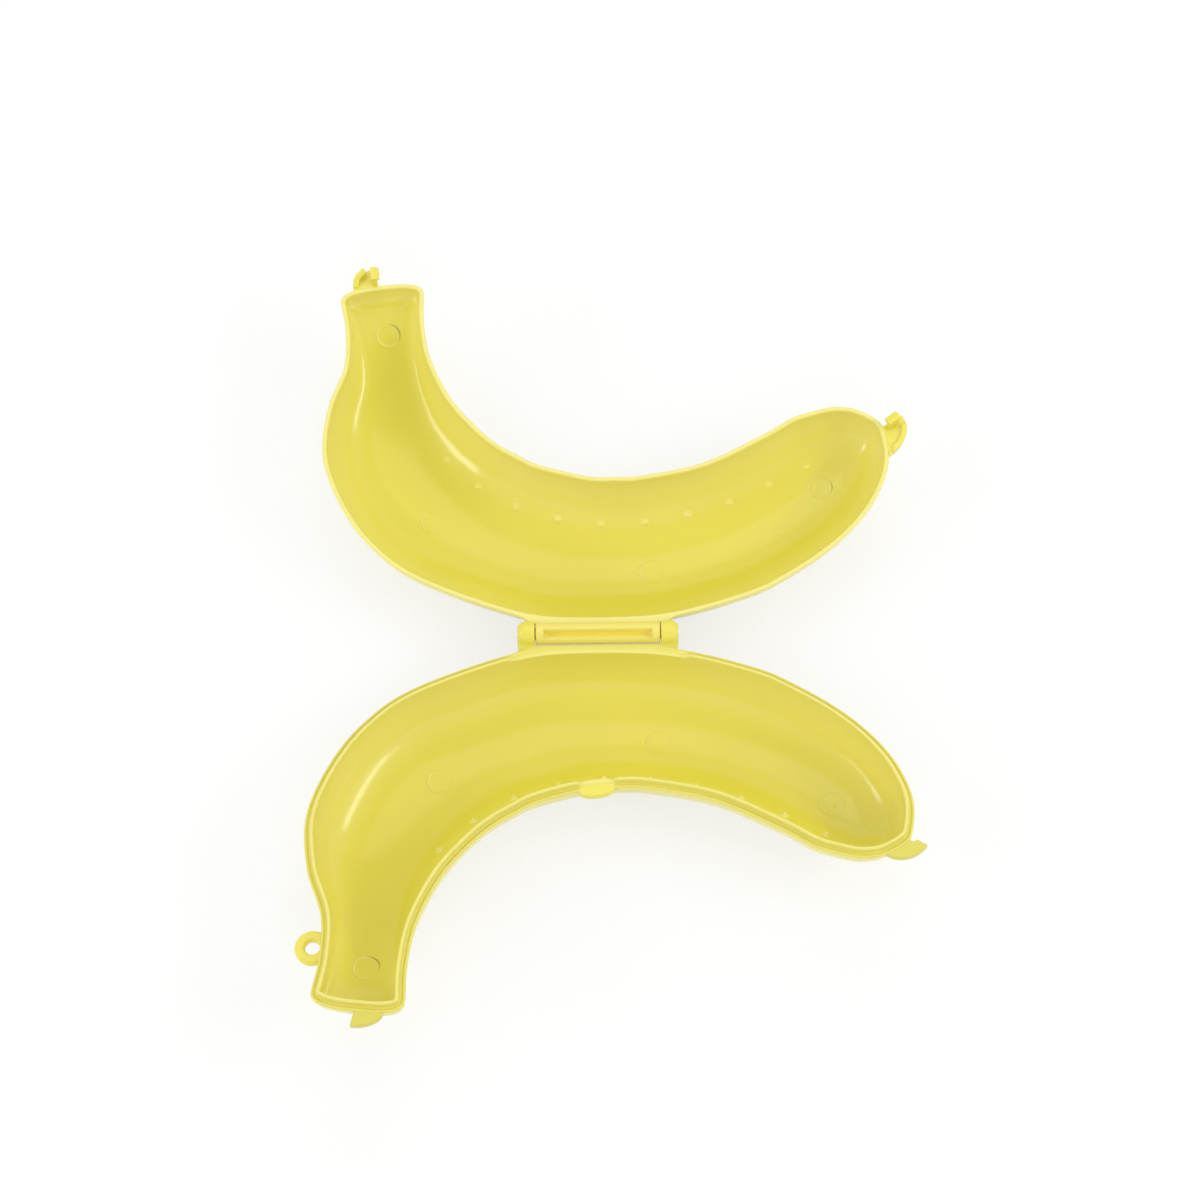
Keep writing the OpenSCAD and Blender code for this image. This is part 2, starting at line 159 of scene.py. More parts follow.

# %% [markdown]
# Light shining through the plastic is painted into its colour: a painted glow, stored on the points of a
# piece in an attribute, mixes in a pale lemon. On the walls the same glow is also painted light against
# the bowl's own shade. Subsurface scattering would give real light through the plastic, but the painted
# glow shows in any light and renders faster.

# %% The moulded plastic
GLOW_LAYER = "painted_glow"
GLOW_LEMON = (0.86, 0.78, 0.22, 1)
PLASTIC_IOR = 1.49
COAT_WEIGHT = 0.15
COAT_ROUGHNESS = 0.12
POLISH_SPREAD = 0.05
RIPPLE_DEPTH = 0.0002


def moulded_plastic(name, low_colour, high_colour, roughness, ripple, warm_spot=None):
    """A glossy plastic between two colours, paler where its points carry painted glow."""
    material = bpy.data.materials.new(name)
    material.use_nodes = True
    tree = material.node_tree
    shader = tree.nodes["Principled BSDF"]
    shader.inputs["IOR"].default_value = PLASTIC_IOR
    shader.inputs["Coat Weight"].default_value = COAT_WEIGHT
    shader.inputs["Coat Roughness"].default_value = COAT_ROUGHNESS
    glow_amount = tree.nodes.new("ShaderNodeAttribute")
    glow_amount.attribute_name = GLOW_LAYER
    pigment = swirl(tree, noise(tree, *SWIRL), low_colour, high_colour)
    colour = tinted(tree, pigment, glow_amount.outputs["Fac"], GLOW_LEMON)
    if warm_spot:
        colour = warm_patch(tree, colour, warm_spot)
    tree.links.new(colour, shader.inputs["Base Color"])
    polish = span(tree, noise(tree, *POLISH), roughness - POLISH_SPREAD, roughness + POLISH_SPREAD)
    tree.links.new(polish, shader.inputs["Roughness"])
    bump = tree.nodes.new("ShaderNodeBump")
    bump.inputs["Strength"].default_value = ripple
    bump.inputs["Distance"].default_value = RIPPLE_DEPTH
    tree.links.new(noise(tree, *RIPPLE), bump.inputs["Height"])
    tree.links.new(bump.outputs["Normal"], shader.inputs["Normal"])
    return material


print("the ripple is", round(RIPPLE_DEPTH / MM, 2), "mm deep, and the roughness varies by", POLISH_SPREAD)

# %% [markdown]
# One tool polish makes the bowls, and a duller one the small features, which look a little brighter for
# it. So there are two finishes, each a roughness and a strength of ripple, and a pair of colours for
# each. The lid and the base have a material each, because only the base has the warm patch.

# %% Lid, base and features
LEMON = (0.72, 0.635, 0.038, 1)
PALE_LEMON = (0.75, 0.665, 0.05, 1)
SATIN_LEMON = (0.81, 0.72, 0.085, 1)
PALE_SATIN = (0.84, 0.75, 0.11, 1)
POLISHED = (0.17, 0.06)
SATIN = (0.26, 0.12)
WARM_SPOT = (0.008, -0.030, 0.004)
lid_plastic = moulded_plastic("polished_lid_plastic", LEMON, PALE_LEMON, *POLISHED)
base_plastic = moulded_plastic("polished_base_plastic", LEMON, PALE_LEMON, *POLISHED, WARM_SPOT)
feature_plastic = moulded_plastic("satin_feature_plastic", SATIN_LEMON, PALE_SATIN, *SATIN)
print("materials:", [material.name for material in bpy.data.materials])

# %% [markdown]
# Most shapes here are lofts: a stack of rings with equally many points, joined by quads. A loft can be
# capped at both ends, or closed round onto its own first ring like a tyre. Modifiers on simple meshes
# could make some of these shapes, but rings say exactly where each edge of a moulding lies.

# %% Lofts
def loft(rings, closed=False, caps=False):
    """Points and faces of a stack of rings."""
    count = len(rings[0])
    faces = []
    for r in range(len(rings) if closed else len(rings) - 1):
        a = r * count
        b = (r + 1) % len(rings) * count
        faces += [(a + i, a + (i + 1) % count, b + (i + 1) % count, b + i) for i in range(count)]
    if caps:
        last = (len(rings) - 1) * count
        faces.append(tuple(reversed(range(count))))
        faces.append(tuple(range(last, last + count)))
    return np.vstack(rings), faces


def joined(parts):
    """Several (points, faces) as one."""
    points, faces, start = [], [], 0
    for some_points, some_faces in parts:
        points.append(some_points)
        faces += [tuple(start + i for i in face) for face in some_faces]
        start += len(some_points)
    return np.vstack(points), faces


print("a capped loft of two squares has", len(loft([np.zeros((4, 3))] * 2, caps=True)[1]), "faces")

# %% [markdown]
# Every piece of the case becomes an object in the same way. A helper makes the mesh, points its faces
# outwards, shades it smooth, tells the frame which body the piece rides on, and hides the CAD nodes it
# stands for. A second helper rounds sharp edges. It is a bevel modifier, so the points stay few and the
# radius is easy to change.

# %% Pieces
MERGE = 2e-7
SHARP_ANGLE = math.radians(35)
BEVEL_STEPS = 4


def make_piece(name, half, shape, material, stands_for, body=None, painted_glow=None):
    """A mesh object from a shape in a half's own frame; the last argument is a painted glow, 0 to 1 for
    each of its points.
    """
    mesh = bpy.data.meshes.new(name)
    mesh.from_pydata(place(shape[0], half).tolist(), [], shape[1])
    if painted_glow is not None:
        mesh.attributes.new(GLOW_LAYER, "FLOAT", "POINT").data.foreach_set("value", painted_glow)
    work = bmesh.new()
    work.from_mesh(mesh)
    bmesh.ops.remove_doubles(work, verts=work.verts, dist=MERGE)
    bmesh.ops.recalc_face_normals(work, faces=work.faces)
    work.to_mesh(mesh)
    work.free()
    mesh.shade_smooth()
    piece = bpy.data.objects.new(name, mesh)
    bpy.context.scene.collection.objects.link(piece)
    mesh.materials.append(material)
    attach(piece, body or half)
    if stands_for:
        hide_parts(*stands_for)
    print(name, "has", len(mesh.polygons), "faces")
    return piece


def soften(piece, width):
    """Rounds every sharp edge of a piece, by a width in millimetres."""
    bevel = piece.modifiers.new("soft_edges", "BEVEL")
    bevel.width = width * MM
    bevel.segments = BEVEL_STEPS
    bevel.limit_method = "ANGLE"
    bevel.angle_limit = SHARP_ANGLE
    normals = piece.modifiers.new("even_shading", "WEIGHTED_NORMAL")
    normals.keep_sharp = False


print("edges of more than", round(math.degrees(SHARP_ANGLE)), "degrees can be rounded")

# %% [markdown]
# The banana's form comes from a handful of ribs across it, from the stem end to the tip. Each rib has an
# edge inside the bend, an edge outside the bend and a depth. One traced curve could give the outline, but
# ribs give the depth with it. A smooth spline through them yields as many stations as we like.

# %% Ribs
BARREL_R = 3.5
BARREL_GAP = 0.5
WALL_FROM_AXIS = BARREL_R + BARREL_GAP
HALF_DEPTH = 22
RIBS = [
    [-57.5, 118, -85.3, 114.5, 0.34],
    [-57.2, 107, -83.5, 104, 0.41],
    [-54.8, 94, -83.7, 91, 0.6],
    [-48.3, 80, -88.6, 76, 0.81],
    [-40.7, 70.3, -89.8, 58.5, 0.92],
    [-33.3, 63.3, -83.5, 41, 0.96],
    [-26.3, 58.8, -73.1, 26.3, 0.98],
    [-18.5, 54.8, -57, 14.1, 0.99],
    [-3, 50.7, -21, 0.8, 1],
    [6, 50.3, -0.5, 0, 1],
    [15, 50.7, 20, 0.5, 1],
    [35, 55, 51, 9.2, 0.98],
    [54.5, 64.5, 75.2, 22.7, 0.93],
    [66, 71.2, 90.3, 38.8, 0.81],
    [77, 74.4, 95.2, 50.8, 0.65],
]
RIB_SHIFT = np.array([0, WALL_FROM_AXIS, 0, WALL_FROM_AXIS, 0])
RIB_SCALE = np.array([1, 1, 1, 1, HALF_DEPTH])
RIB_STEPS = 12
ribs = np.array(RIBS) * RIB_SCALE + RIB_SHIFT
guide = np.vstack([2 * ribs[0] - ribs[1], ribs, 2 * ribs[-1] - ribs[-2]])


def rib_at(s):
    """The rib at s, counted in ribs from the stem end."""
    i = min(int(s), len(ribs) - 2)
    t = s - i
    before, start, end, after = guide[i : i + 4]
    return 0.5 * (
        2 * start
        + (end - before) * t
        + (2 * before - 5 * start + 4 * end - after) * t**2
        + (3 * start - before - 3 * end + after) * t**3
    )


stations = np.array([rib_at(k / RIB_STEPS) for k in range((len(ribs) - 1) * RIB_STEPS + 1)])
inside_edge = stations[:, 0:2]
outside_edge = stations[:, 2:4]
print("stations along the banana:", len(stations))

# %% [markdown]
# Two rounded caps close the ends. A half circle would be too round for the stem and too blunt for the
# tip, so a cap is a superellipse, whose power says how boxy it is. The latches sit on these caps, so a
# cap can also give a point beyond itself.

# %% End caps
CAP_STEPS = 44


def unit(vector):
    return vector / np.linalg.norm(vector)


class EndCap:
    """A rounded end between two edge points."""

    def __init__(self, start, end, bulge, power):
        self.middle = (start + end) / 2
        self.reach = (end - start) / 2
        self.along = unit(self.reach)
        self.out = np.array([-self.along[1], self.along[0]])
        self.bulge = bulge
        self.power = power

    def rise(self, share):
        return self.bulge * (1 - abs(share) ** self.power) ** (1 / self.power)

    def at(self, share, lift=0):
        return self.middle + self.reach * share + self.out * (self.rise(share) + lift)

    def beyond(self, along, lift):
        """A point beyond the crown of the cap."""
        return self.middle + self.along * along + self.out * (self.bulge + lift)

    def share(self, along):
        return along / np.linalg.norm(self.reach)

    def points(self):
        turns = [math.cos(math.pi * k / CAP_STEPS) for k in range(1, CAP_STEPS)]
        return [self.at(-math.copysign(abs(c) ** (2 / self.power), c)) for c in turns]


stem_cap = EndCap(outside_edge[0], inside_edge[0], bulge=5, power=2.8)
tip_cap = EndCap(inside_edge[-1], outside_edge[-1], bulge=9.9, power=1.5)
for name, cap in (("stem", stem_cap), ("tip", tip_cap)):
    print("middle of the", name, "cap:", np.round(cap.middle, 1))

# %% [markdown]
# Edges and caps together are the outline. A few rounds of averaging ease away the corners where the tip's
# cap starts and ends. Beside the hinge the spline leaves slight waves, so there the outline is kept
# behind a flat bow. Walls are offset along the inward directions. Those are averaged too, so that a
# thick wall doesn't fold at the stem's tight corners.

# %% Outline
EASE_PASSES = 30
EASE_SPAN = 10
SHOULDER_PASSES = 60
SHOULDER_SPAN = 26
SHOULDER_AHEAD = 8
HINGE_PASSES = 10
HINGE_SPAN = 30
HINGE_BOW = 0.0018
INWARD_PASSES = 16
outline = np.vstack([stem_cap.points(), inside_edge, tip_cap.points(), outside_edge[::-1]])


def averaged(ring):
    """Twice each point and both its neighbours, summed."""
    return np.roll(ring, 1, axis=0) + 2 * ring + np.roll(ring, -1, axis=0)


def ease(middle, span, passes):
    """Averages the outline's points near one of them with their neighbours."""
    for _ in range(passes):
        eased = averaged(outline) / 4
        outline[middle - span : middle + span] = eased[middle - span : middle + span]


tip_start = CAP_STEPS + len(stations) - 2
ease(tip_start, EASE_SPAN, EASE_PASSES)
ease(tip_start + CAP_STEPS + SHOULDER_AHEAD, SHOULDER_SPAN, SHOULDER_PASSES)
hinge_start = int(np.argmin(outline[:, 1]))
near_hinge = slice(hinge_start - HINGE_SPAN, hinge_start + HINGE_SPAN)
bow = WALL_FROM_AXIS + HINGE_BOW * outline[near_hinge, 0] ** 2
outline[near_hinge, 1] = np.maximum(outline[near_hinge, 1], bow)
ease(hinge_start, HINGE_SPAN, HINGE_PASSES)
heading = np.roll(outline, -1, axis=0) - np.roll(outline, 1, axis=0)
heading /= np.linalg.norm(heading, axis=1)[:, None]
inward = np.column_stack([heading[:, 1], -heading[:, 0]])
for _ in range(INWARD_PASSES):
    inward = averaged(inward)
    inward /= np.linalg.norm(inward, axis=1)[:, None]
print("outline points:", len(outline))

# %% [markdown]
# A bowl hangs below that outline. Every outline point belongs to a point of the floor line, and a quarter
# of an ellipse leads down to it. At the stem the ellipse gets boxier, as on the real case. The floor line
# stops short of both ends, so that the ends close like the end of a bath. Sculpting could give such a
# bowl, but a formula gives the same one to both halves.

# %% The bowl's floor
BOXY_RIBS = 4
BOXY_POWER = 3.2
STEM_RISE = 4
TIP_RISE = 16
SMOOTHING = 9
DEPTH_TRIM = 0.1
count = len(stations)
cap_count = CAP_STEPS - 1
station_of = np.concatenate(
    [np.zeros(cap_count), np.arange(count), np.full(cap_count, count - 1), np.arange(count)[::-1]]
).astype(int)
floor_of = np.clip(station_of, STEM_RISE, count - 1 - TIP_RISE)
floor_middle = ((inside_edge + outside_edge) / 2)[floor_of]
clipped = stations[np.clip(np.arange(-SMOOTHING, count + SMOOTHING), STEM_RISE, count - 1 - TIP_RISE), 4]
smooth_depth = np.convolve(clipped, np.ones(2 * SMOOTHING + 1) / (2 * SMOOTHING + 1), "valid")
floor_depth = smooth_depth[floor_of] - DEPTH_TRIM
section_power = 2 + (BOXY_POWER - 2) * np.clip(1 - floor_of / RIB_STEPS / BOXY_RIBS, 0, None)
print("bowl depth from", round(floor_depth.min(), 1), "to", round(floor_depth.max(), 1), "mm")

# %% [markdown]
# Two kinds of ring build a shell: a skin ring lies on the bowl's surface at an angle down from the rim,
# and a band ring runs beside the outline at some height. The skin rings are closer together near the rim,
# where the wall is steep.

# %% Rings of a bowl
WALL = 1.6
RIM_DROP = 0.15
BOWL_RINGS = 22
RING_CROWDING = 1.3
DOWN = [90 * (k / BOWL_RINGS) ** RING_CROWDING for k in range(1, BOWL_RINGS)] + [90]


def skin(inset, angle, wall):
    """A ring of the bowl's surface, turned down from the rim by an angle in degrees."""
    turn = math.radians(angle)
    wide = max(math.cos(turn), 0) ** (2 / section_power)
    deep = math.sin(turn) ** (2 / section_power)
    edge = outline + inset * inward
    plan = floor_middle + (edge - floor_middle) * wide[:, None]
    return np.column_stack([plan, -RIM_DROP - (floor_depth - wall - RIM_DROP) * deep])


def band(inset, height):
    """A ring beside the outline at one height, or at a height for each point."""
    return np.column_stack([outline + inset * inward, np.broadcast_to(height, len(outline))])


print("angles of the bowl's rings:", np.round(DOWN))

# %% [markdown]
# Beside the hinge, both rims have a land: their curved outer edge is drawn out to a straight one between
# the ears. A block could be joined on there. Moving points of the outermost rings along v leaves one
# clean surface instead. Further down the wall the move fades out, so the underside of the land is a soft
# fillet.

# %% The land beside the hinge
LAND_HALF = 20.5
LAND_BLEND = 5
LAND_EDGE = {"lid": 2.9, "base": 3.75}


def smooth_step(low, high, value):
    t = np.clip((value - low) / (high - low), 0, 1)
    return t * t * (3 - 2 * t)


on_hinge_side = outline[:, 1] < WALL_FROM_AXIS + HALF_DEPTH
land_share = on_hinge_side * (1 - smooth_step(LAND_HALF, LAND_HALF + LAND_BLEND, np.abs(outline[:, 0])))


def with_land(ring, edge, share=1):
    """The ring with its hinge side moved out to v = edge."""
    moved = ring.copy()
    moved[:, 1] += share * land_share * np.minimum(edge - ring[:, 1], 0)
    return moved


print("outline points on the land:", int((land_share > 0).sum()))

# %% [markdown]
# The outside of a half is the same for the lid and the base: up the wall from the middle of the
# underside, then round the edge of the rim. Where the wall is shallow, a ring could come out above the
# one before it and fold the surface. So each ring is kept a little below the last.

# %% The outside of a half
RIM_ROUND = 0.6
ROUND_TURNS = np.radians([0, 22.5, 45, 67.5, 90])
LAND_FADE = 12
RING_STEP = 0.08


def kept_below(rings, top):
    """Rings on their way down, each kept a little below the one before it."""
    for k, ring in enumerate(rings):
        ring[:, 2] = np.minimum(ring[:, 2], top - RING_STEP * (k + 1))
    return rings


def outside(half):
    """Rings from the middle of the underside up to the top of the rim."""
    edge = LAND_EDGE[half]
    wall = [with_land(skin(0, angle, 0), edge, 1 - smooth_step(0, LAND_FADE, angle)) for angle in DOWN]
    rings = kept_below(wall, -RIM_DROP - RIM_ROUND)[::-1]
    for t in ROUND_TURNS:
        inset = RIM_ROUND * (1 - math.cos(t))
        rings.append(with_land(band(inset, -RIM_DROP - RIM_ROUND * (1 - math.sin(t))), edge + inset))
    return rings


print("rings on the outside of a half:", len(DOWN) + len(ROUND_TURNS))

# %% [markdown]
# These values paint the glow of light through the plastic, which on the walls is also painted light against
# the bowl's own shade. The rim gets the most, then the walls, and then the floors of the belly and the tip;
# the neck's floor gets none. A value for each angle down from the rim, and one for each station, say so.
# Beside the hinge the wall gets thicker again, and gets less of the glow.

# %% Painted glow on the shells
RIM_BAND = 6
WALL_END = 75
WALL_GLOW = 0.85
BELLY_RIBS = (3.5, 8)
BELLY_GLOW = 0.12
TIP_RIBS = (11.5, 13.5)
TIP_GLOW = 0.15
LAND_REACH = (5, 50)
LAND_GLOW_CUT = 0.4
belly = smooth_step(*BELLY_RIBS, station_of / RIB_STEPS)
tip_end = smooth_step(*TIP_RIBS, station_of / RIB_STEPS)
hinge_wall = on_hinge_side * (1 - smooth_step(*LAND_REACH, np.abs(outline[:, 0])))


def glow_ring(angle):
    """Painted glow round a ring of the bowl; the rim itself has angle 0."""
    rim = 1 - smooth_step(0, RIM_BAND, angle)
    wall = 1 - smooth_step(RIM_BAND, WALL_END, angle)
    near_rim = (1 - WALL_GLOW) * rim + WALL_GLOW * wall
    floor = BELLY_GLOW * belly + TIP_GLOW * tip_end
    return np.maximum(near_rim * (1 - LAND_GLOW_CUT * hinge_wall * (angle > 0)), floor)


def shell_glow(rim):
    """Painted glow on a shell's points: outside, rim, inside; rim has a value for each of its rings."""
    rings = [glow_ring(angle) for angle in reversed(DOWN)]
    rings += [np.full(len(outline), value) for value in rim]
    rings += [glow_ring(angle) for angle in DOWN]
    return np.concatenate(rings)


steep = glow_ring(DOWN[0])
print("thinness beside the rim:", np.round(steep.min(), 2), "to", np.round(steep.max(), 2))

# %% [markdown]
# The lid is the plain bowl: one rim of one wall thickness, with both of its edges rounded by the moulding
# tool. A solidify modifier could give the wall, but not this rim. So the rings run up the outside, over
# the rim and down the inside. A ring for every few degrees, and small arcs at the rim, need no
# subdivision.

# %% The lid's shell
def lid_inner_rim():
    rings = []
    for t in ROUND_TURNS[::-1]:
        height = -RIM_DROP - RIM_ROUND * (1 - math.sin(t))
        rings.append(band(WALL - RIM_ROUND * (1 - math.cos(t)), height))
    return rings


lid_bowl = kept_below([skin(WALL, angle, WALL) for angle in DOWN], -RIM_DROP - RIM_ROUND)
lid_rings = outside("lid") + lid_inner_rim() + lid_bowl
# The lid's rim gets the full painted glow.
lid_glow = shell_glow([1] * (2 * len(ROUND_TURNS)))
make_piece("lid_bowl", "lid", loft(lid_rings), lid_plastic, ["lid_shell"], painted_glow=lid_glow)

# %% [markdown]
# The base has a second, raised lip inside its rim, which the lid closes over. A sunk ledge runs between
# the two. The lip stops beside the hinge and at the thumb tab. It could be cut away there, but lowering
# it is simpler and leaves no open edge: a mask is 1 along the lip and 0 where it stops.

# %% The base's lip
LIP_INSET = 1.9
LIP_T = 1.1
LIP_H = 1.6
LIP_ROUND = 0.45
LIP_FOOT = 0.12
LEDGE_START = 0.75
LEDGE_SLOPE = 0.15
LEDGE_DEPTH = 0.3
LAND_L = 58
TAB_RIB = 8.2
TAB_W = 11
STOP_SLOPE = 0.8
tab_x = rib_at(TAB_RIB)[0]
from_hinge = np.abs(outline[:, 0]) - LAND_L / 2
from_tab = np.abs(outline[:, 0] - tab_x) - TAB_W / 2
lip_mask = smooth_step(-STOP_SLOPE, STOP_SLOPE, np.where(on_hinge_side, from_hinge, from_tab))


def lip_ring(inset, above_rim):
    return band(inset, -RIM_DROP + lip_mask * above_rim)


def base_rim():
    """Rings over the ledge, up the lip and down on its inside."""
    low = LIP_H + RIM_DROP - LIP_ROUND
    lip_in = LIP_INSET + LIP_T
    rings = [lip_ring(LEDGE_START, 0), lip_ring(LEDGE_START + LEDGE_SLOPE, -LEDGE_DEPTH)]
    rings += [lip_ring(LIP_INSET - LIP_FOOT, -LEDGE_DEPTH), lip_ring(LIP_INSET, -LEDGE_DEPTH / 2)]
    arc = [(LIP_ROUND * (1 - math.cos(t)), low + LIP_ROUND * math.sin(t)) for t in ROUND_TURNS]
    rings += [lip_ring(LIP_INSET + back, height) for back, height in arc]
    rings += [lip_ring(lip_in - back, height) for back, height in reversed(arc)]
    return rings + [band(lip_in, -RIM_DROP)]


print("share of the outline with a lip:", round(lip_mask.mean(), 2))

# %% [markdown]
# Below the lip the base's wall gets thinner smoothly, until it is as thin as the lid's. The rim and the
# lip are thicker than the lid's rim, so they get less of the painted glow; the rim and the sunk ledge get
# the least, which paints the ledge's shade.

# %% The base's shell
THICK_UNTIL = 45
BASE_RIM_GLOW = 0.45
LIP_GLOW = 0.75


def base_inset(angle):
    return WALL + (LIP_INSET + LIP_T - WALL) * (1 - smooth_step(0, THICK_UNTIL, angle))


base_bowl = kept_below([skin(base_inset(angle), angle, WALL) for angle in DOWN], -RIM_DROP)
base_rings = outside("base") + base_rim() + base_bowl
lip_count = 2 * len(ROUND_TURNS) + 1
rim_count = len(base_rings) - 2 * len(DOWN) - lip_count
base_glow = shell_glow([BASE_RIM_GLOW] * rim_count + [LIP_GLOW] * lip_count)
make_piece("base_bowl", "base", loft(base_rings), base_plastic, ["base_shell"], painted_glow=base_glow)

# %% [markdown]
# Nubs and ejector marks sit on the curved floor. A boolean could join them to it, but would break up its
# clean quads. Instead, a BVH tree of each inner bowl finds the floor under any point. A patch is built as
# rings round a point, each ring point dropped onto the floor and lifted along the floor's normal by a
# profile. Its last ring lies inside the wall, so that the patch closes out of sight.

# %% Small forms on the floor
PATCH_SIDES = 56
LOOK_UP = 3
BOWLS = {"lid": lid_bowl, "base": base_bowl}
FLOORS = {}
for half, bowl in BOWLS.items():
    bowl_points, bowl_faces = loft(bowl)
    FLOORS[half] = BVHTree.FromPolygons([Vector(p) for p in bowl_points], bowl_faces)
    print("floor of the", half, "has", len(bowl_faces), "faces")


def on_floor(half, middle, normal, radius, turn):
    """The floor's point at a radius and a turn round a middle; turn 0 points along x."""
    across = (Vector((1, 0, 0)) - normal.x * normal).normalized()
    start = middle + radius * (math.cos(turn) * across + math.sin(turn) * normal.cross(across))
    return FLOORS[half].ray_cast(start + LOOK_UP * normal, -normal)[0] or start


def evenly(turn):
    return 1


def patch(half, middle, normal, profile, share=evenly):
    """Rings of (radius, lift) on the floor, round a point; share(turn) scales a lift."""
    normal = normal.normalized()
    rings = []
    for radius, lift in profile:
        ring = []
        for k in range(PATCH_SIDES):
            turn = 2 * math.pi * k / PATCH_SIDES
            rise = lift * share(turn) if lift > 0 else lift
            ring.append(on_floor(half, middle, normal, radius, turn) + rise * normal)
        rings.append(np.array(ring))
    return loft(rings, caps=True)


# %% [markdown]
# A row of small round nubs along the inner bend keeps the fruit off the wall, so that it doesn't sweat.
# They are evenly spaced along their row. Dividing the spline's own steps would crowd them where the ribs
# are close. So the row's line is measured first, and the nubs are set out along its length.

# %% Where the nubs stand
NUB_COUNT = 10
NUB_START = 57
NUB_PITCH = 14.6
NUB_DEPTH = 16
NUB_STEEPEST = 0.9


def nub_foot(rib):
    """Where a nub stands on a rib's section."""
    inside, outside, depth = rib[0:2], rib[2:4], rib[4]
    reach = (inside - outside) / 2
    reach = reach - WALL * unit(reach)
    turn = math.asin(min(NUB_DEPTH / (depth - WALL), NUB_STEEPEST))
    plan = (inside + outside) / 2 + reach * math.cos(turn)
    return Vector((*plan, -RIM_DROP - (depth - WALL - RIM_DROP) * math.sin(turn)))


nub_line = np.array([nub_foot(rib)[0:2] for rib in stations])
row_steps = np.linalg.norm(np.diff(nub_line, axis=0), axis=1)
row_length = np.concatenate([[0], np.cumsum(row_steps)])
row_length -= np.interp(0, nub_line[:, 0], row_length)
print("the line of the nubs is", round(row_steps.sum()), "mm long")

# %% [markdown]
# Each nub is a low dome that runs out softly at its foot. A sphere would be quicker, but would meet the
# wall in a hard line. The nubs are more polished than the floor, and their colour is painted paler, up to
# the pale lemon of the painted glow: painted light on their shaded sides.

# %% Grip nubs
NUB_R = 1.4
NUB_H = 1
NUB_STEPS = [k / 10 for k in range(1, 11)]
NUB_SLIM = 1.6
NUB_SKIRT = 1.15
NUB_SINK = 0.3
FLOOR_SKIN = 0.01
NUB_PROFILE = [(NUB_R * t, NUB_H * math.cos(math.pi / 2 * t) ** NUB_SLIM + FLOOR_SKIN) for t in NUB_STEPS]
NUB_PROFILE.append((NUB_R * NUB_SKIRT, -NUB_SINK))
# The nubs' paler colour is painted light on their shaded sides.
PAINTED_NUB_LEMON = (0.84, 0.76, 0.13, 1)
BRIGHT = (0.1, 0.03)
nub_plastic = moulded_plastic("painted_light_nub_plastic", PAINTED_NUB_LEMON, GLOW_LEMON, *BRIGHT)
for half in ("base", "lid"):
    nubs = []
    for k in range(NUB_COUNT):
        station = np.interp(k * NUB_PITCH - NUB_START, row_length, np.arange(count))
        middle, normal = FLOORS[half].find_nearest(nub_foot(rib_at(station / RIB_STEPS)))[0:2]
        if normal.z < 0:
            normal = -normal
        nubs.append(patch(half, middle, normal, NUB_PROFILE))
    make_piece(f"{half}_nub_row", half, joined(nubs), nub_plastic, [f"{half}_grip_nubs"])

# %% [markdown]
# When a moulding is pushed out of its tool, each ejector pin leaves a round mark. There are four in each
# half, at a place in plan and with a direction in degrees. A ray cast straight down finds the floor
# there. The bowl's own points tell how much painted glow the floor has, so that a mark has the floor's
# colour.

# %% Places and thinness on the floor
MARKS = {
    "lid": [(-69.9, 110, 180), (-54.7, 46.4, 200), (17.8, 28.3, 180), (74.8, 56.8, 180)],
    "base": [(-70.1, 109, 180), (-50.6, 42.4, 180), (18.9, 29.2, 160), (72.9, 52.6, 170)],
}


def floor_under(half, x, v):
    """The floor's point and upward normal below a point of the plan."""
    middle, normal = FLOORS[half].ray_cast(Vector((x, v, LOOK_UP)), Vector((0, 0, -1)))[0:2]
    return middle, normal if normal.z > 0 else -normal


def floor_glow(half, points):
    """The painted glow that the bowl has beside each point."""
    bowl_points = np.vstack(BOWLS[half])
    bowl_glow = np.concatenate([glow_ring(angle) for angle in DOWN])
    return bowl_glow[[np.argmin(((bowl_points - point) ** 2).sum(axis=1)) for point in points]]


for half, marks in MARKS.items():
    depths = [-floor_under(half, x, v)[0].z for x, v, towards in marks]
    print("marks of the", half, "lie below its rim by", np.round(depths, 1), "mm")

# %% [markdown]
# A mark is 8 mm across. The pin never sits quite level, so its edge is a crescent: a fine ridge on one
# side that fades away on the other. A bump texture could draw it, but a real ridge also shows in the mesh.
# The ridge gets the painted glow, strongest where it stands highest, which paints a highlight along it.

# %% Ejector marks
MARK_PROFILE = [
    (0.4, 0.02),
    (2.4, 0.02),
    (3.5, 0.02),
    (3.66, 0.08),
    (3.8, 0.26),
    (3.92, 0.26),
    (4.05, 0.06),
    (4.2, -0.3),
]
RIDGE_RINGS = slice(3, 6)
LEAST_LIFT = 0.12
patch_turns = 2 * np.pi * np.arange(PATCH_SIDES) / PATCH_SIDES


def crescent(towards):
    """How high a ridge is at each turn, when it is highest towards one direction in degrees."""

    def share(turn):
        return LEAST_LIFT + (1 - LEAST_LIFT) * (0.5 + 0.5 * math.cos(turn - math.radians(towards))) ** 2

    return share


for half, plastic in (("base", base_plastic), ("lid", lid_plastic)):
    patches = []
    for x, v, towards in MARKS[half]:
        patches.append(patch(half, *floor_under(half, x, v), MARK_PROFILE, crescent(towards)))
    marks = joined(patches)
    painted_glow = floor_glow(half, marks[0]).reshape(len(patches), len(MARK_PROFILE), PATCH_SIDES)
    for mark_glow, (x, v, towards) in zip(painted_glow, MARKS[half]):
        # The ridge's painted glow is a painted highlight, strongest where the ridge stands highest.
        ridge_highlight = [crescent(towards)(turn) for turn in patch_turns]
        mark_glow[RIDGE_RINGS] = np.maximum(mark_glow[RIDGE_RINGS], ridge_highlight)
    make_piece(f"{half}_ejector_marks", half, marks, plastic, [], painted_glow=painted_glow.ravel())
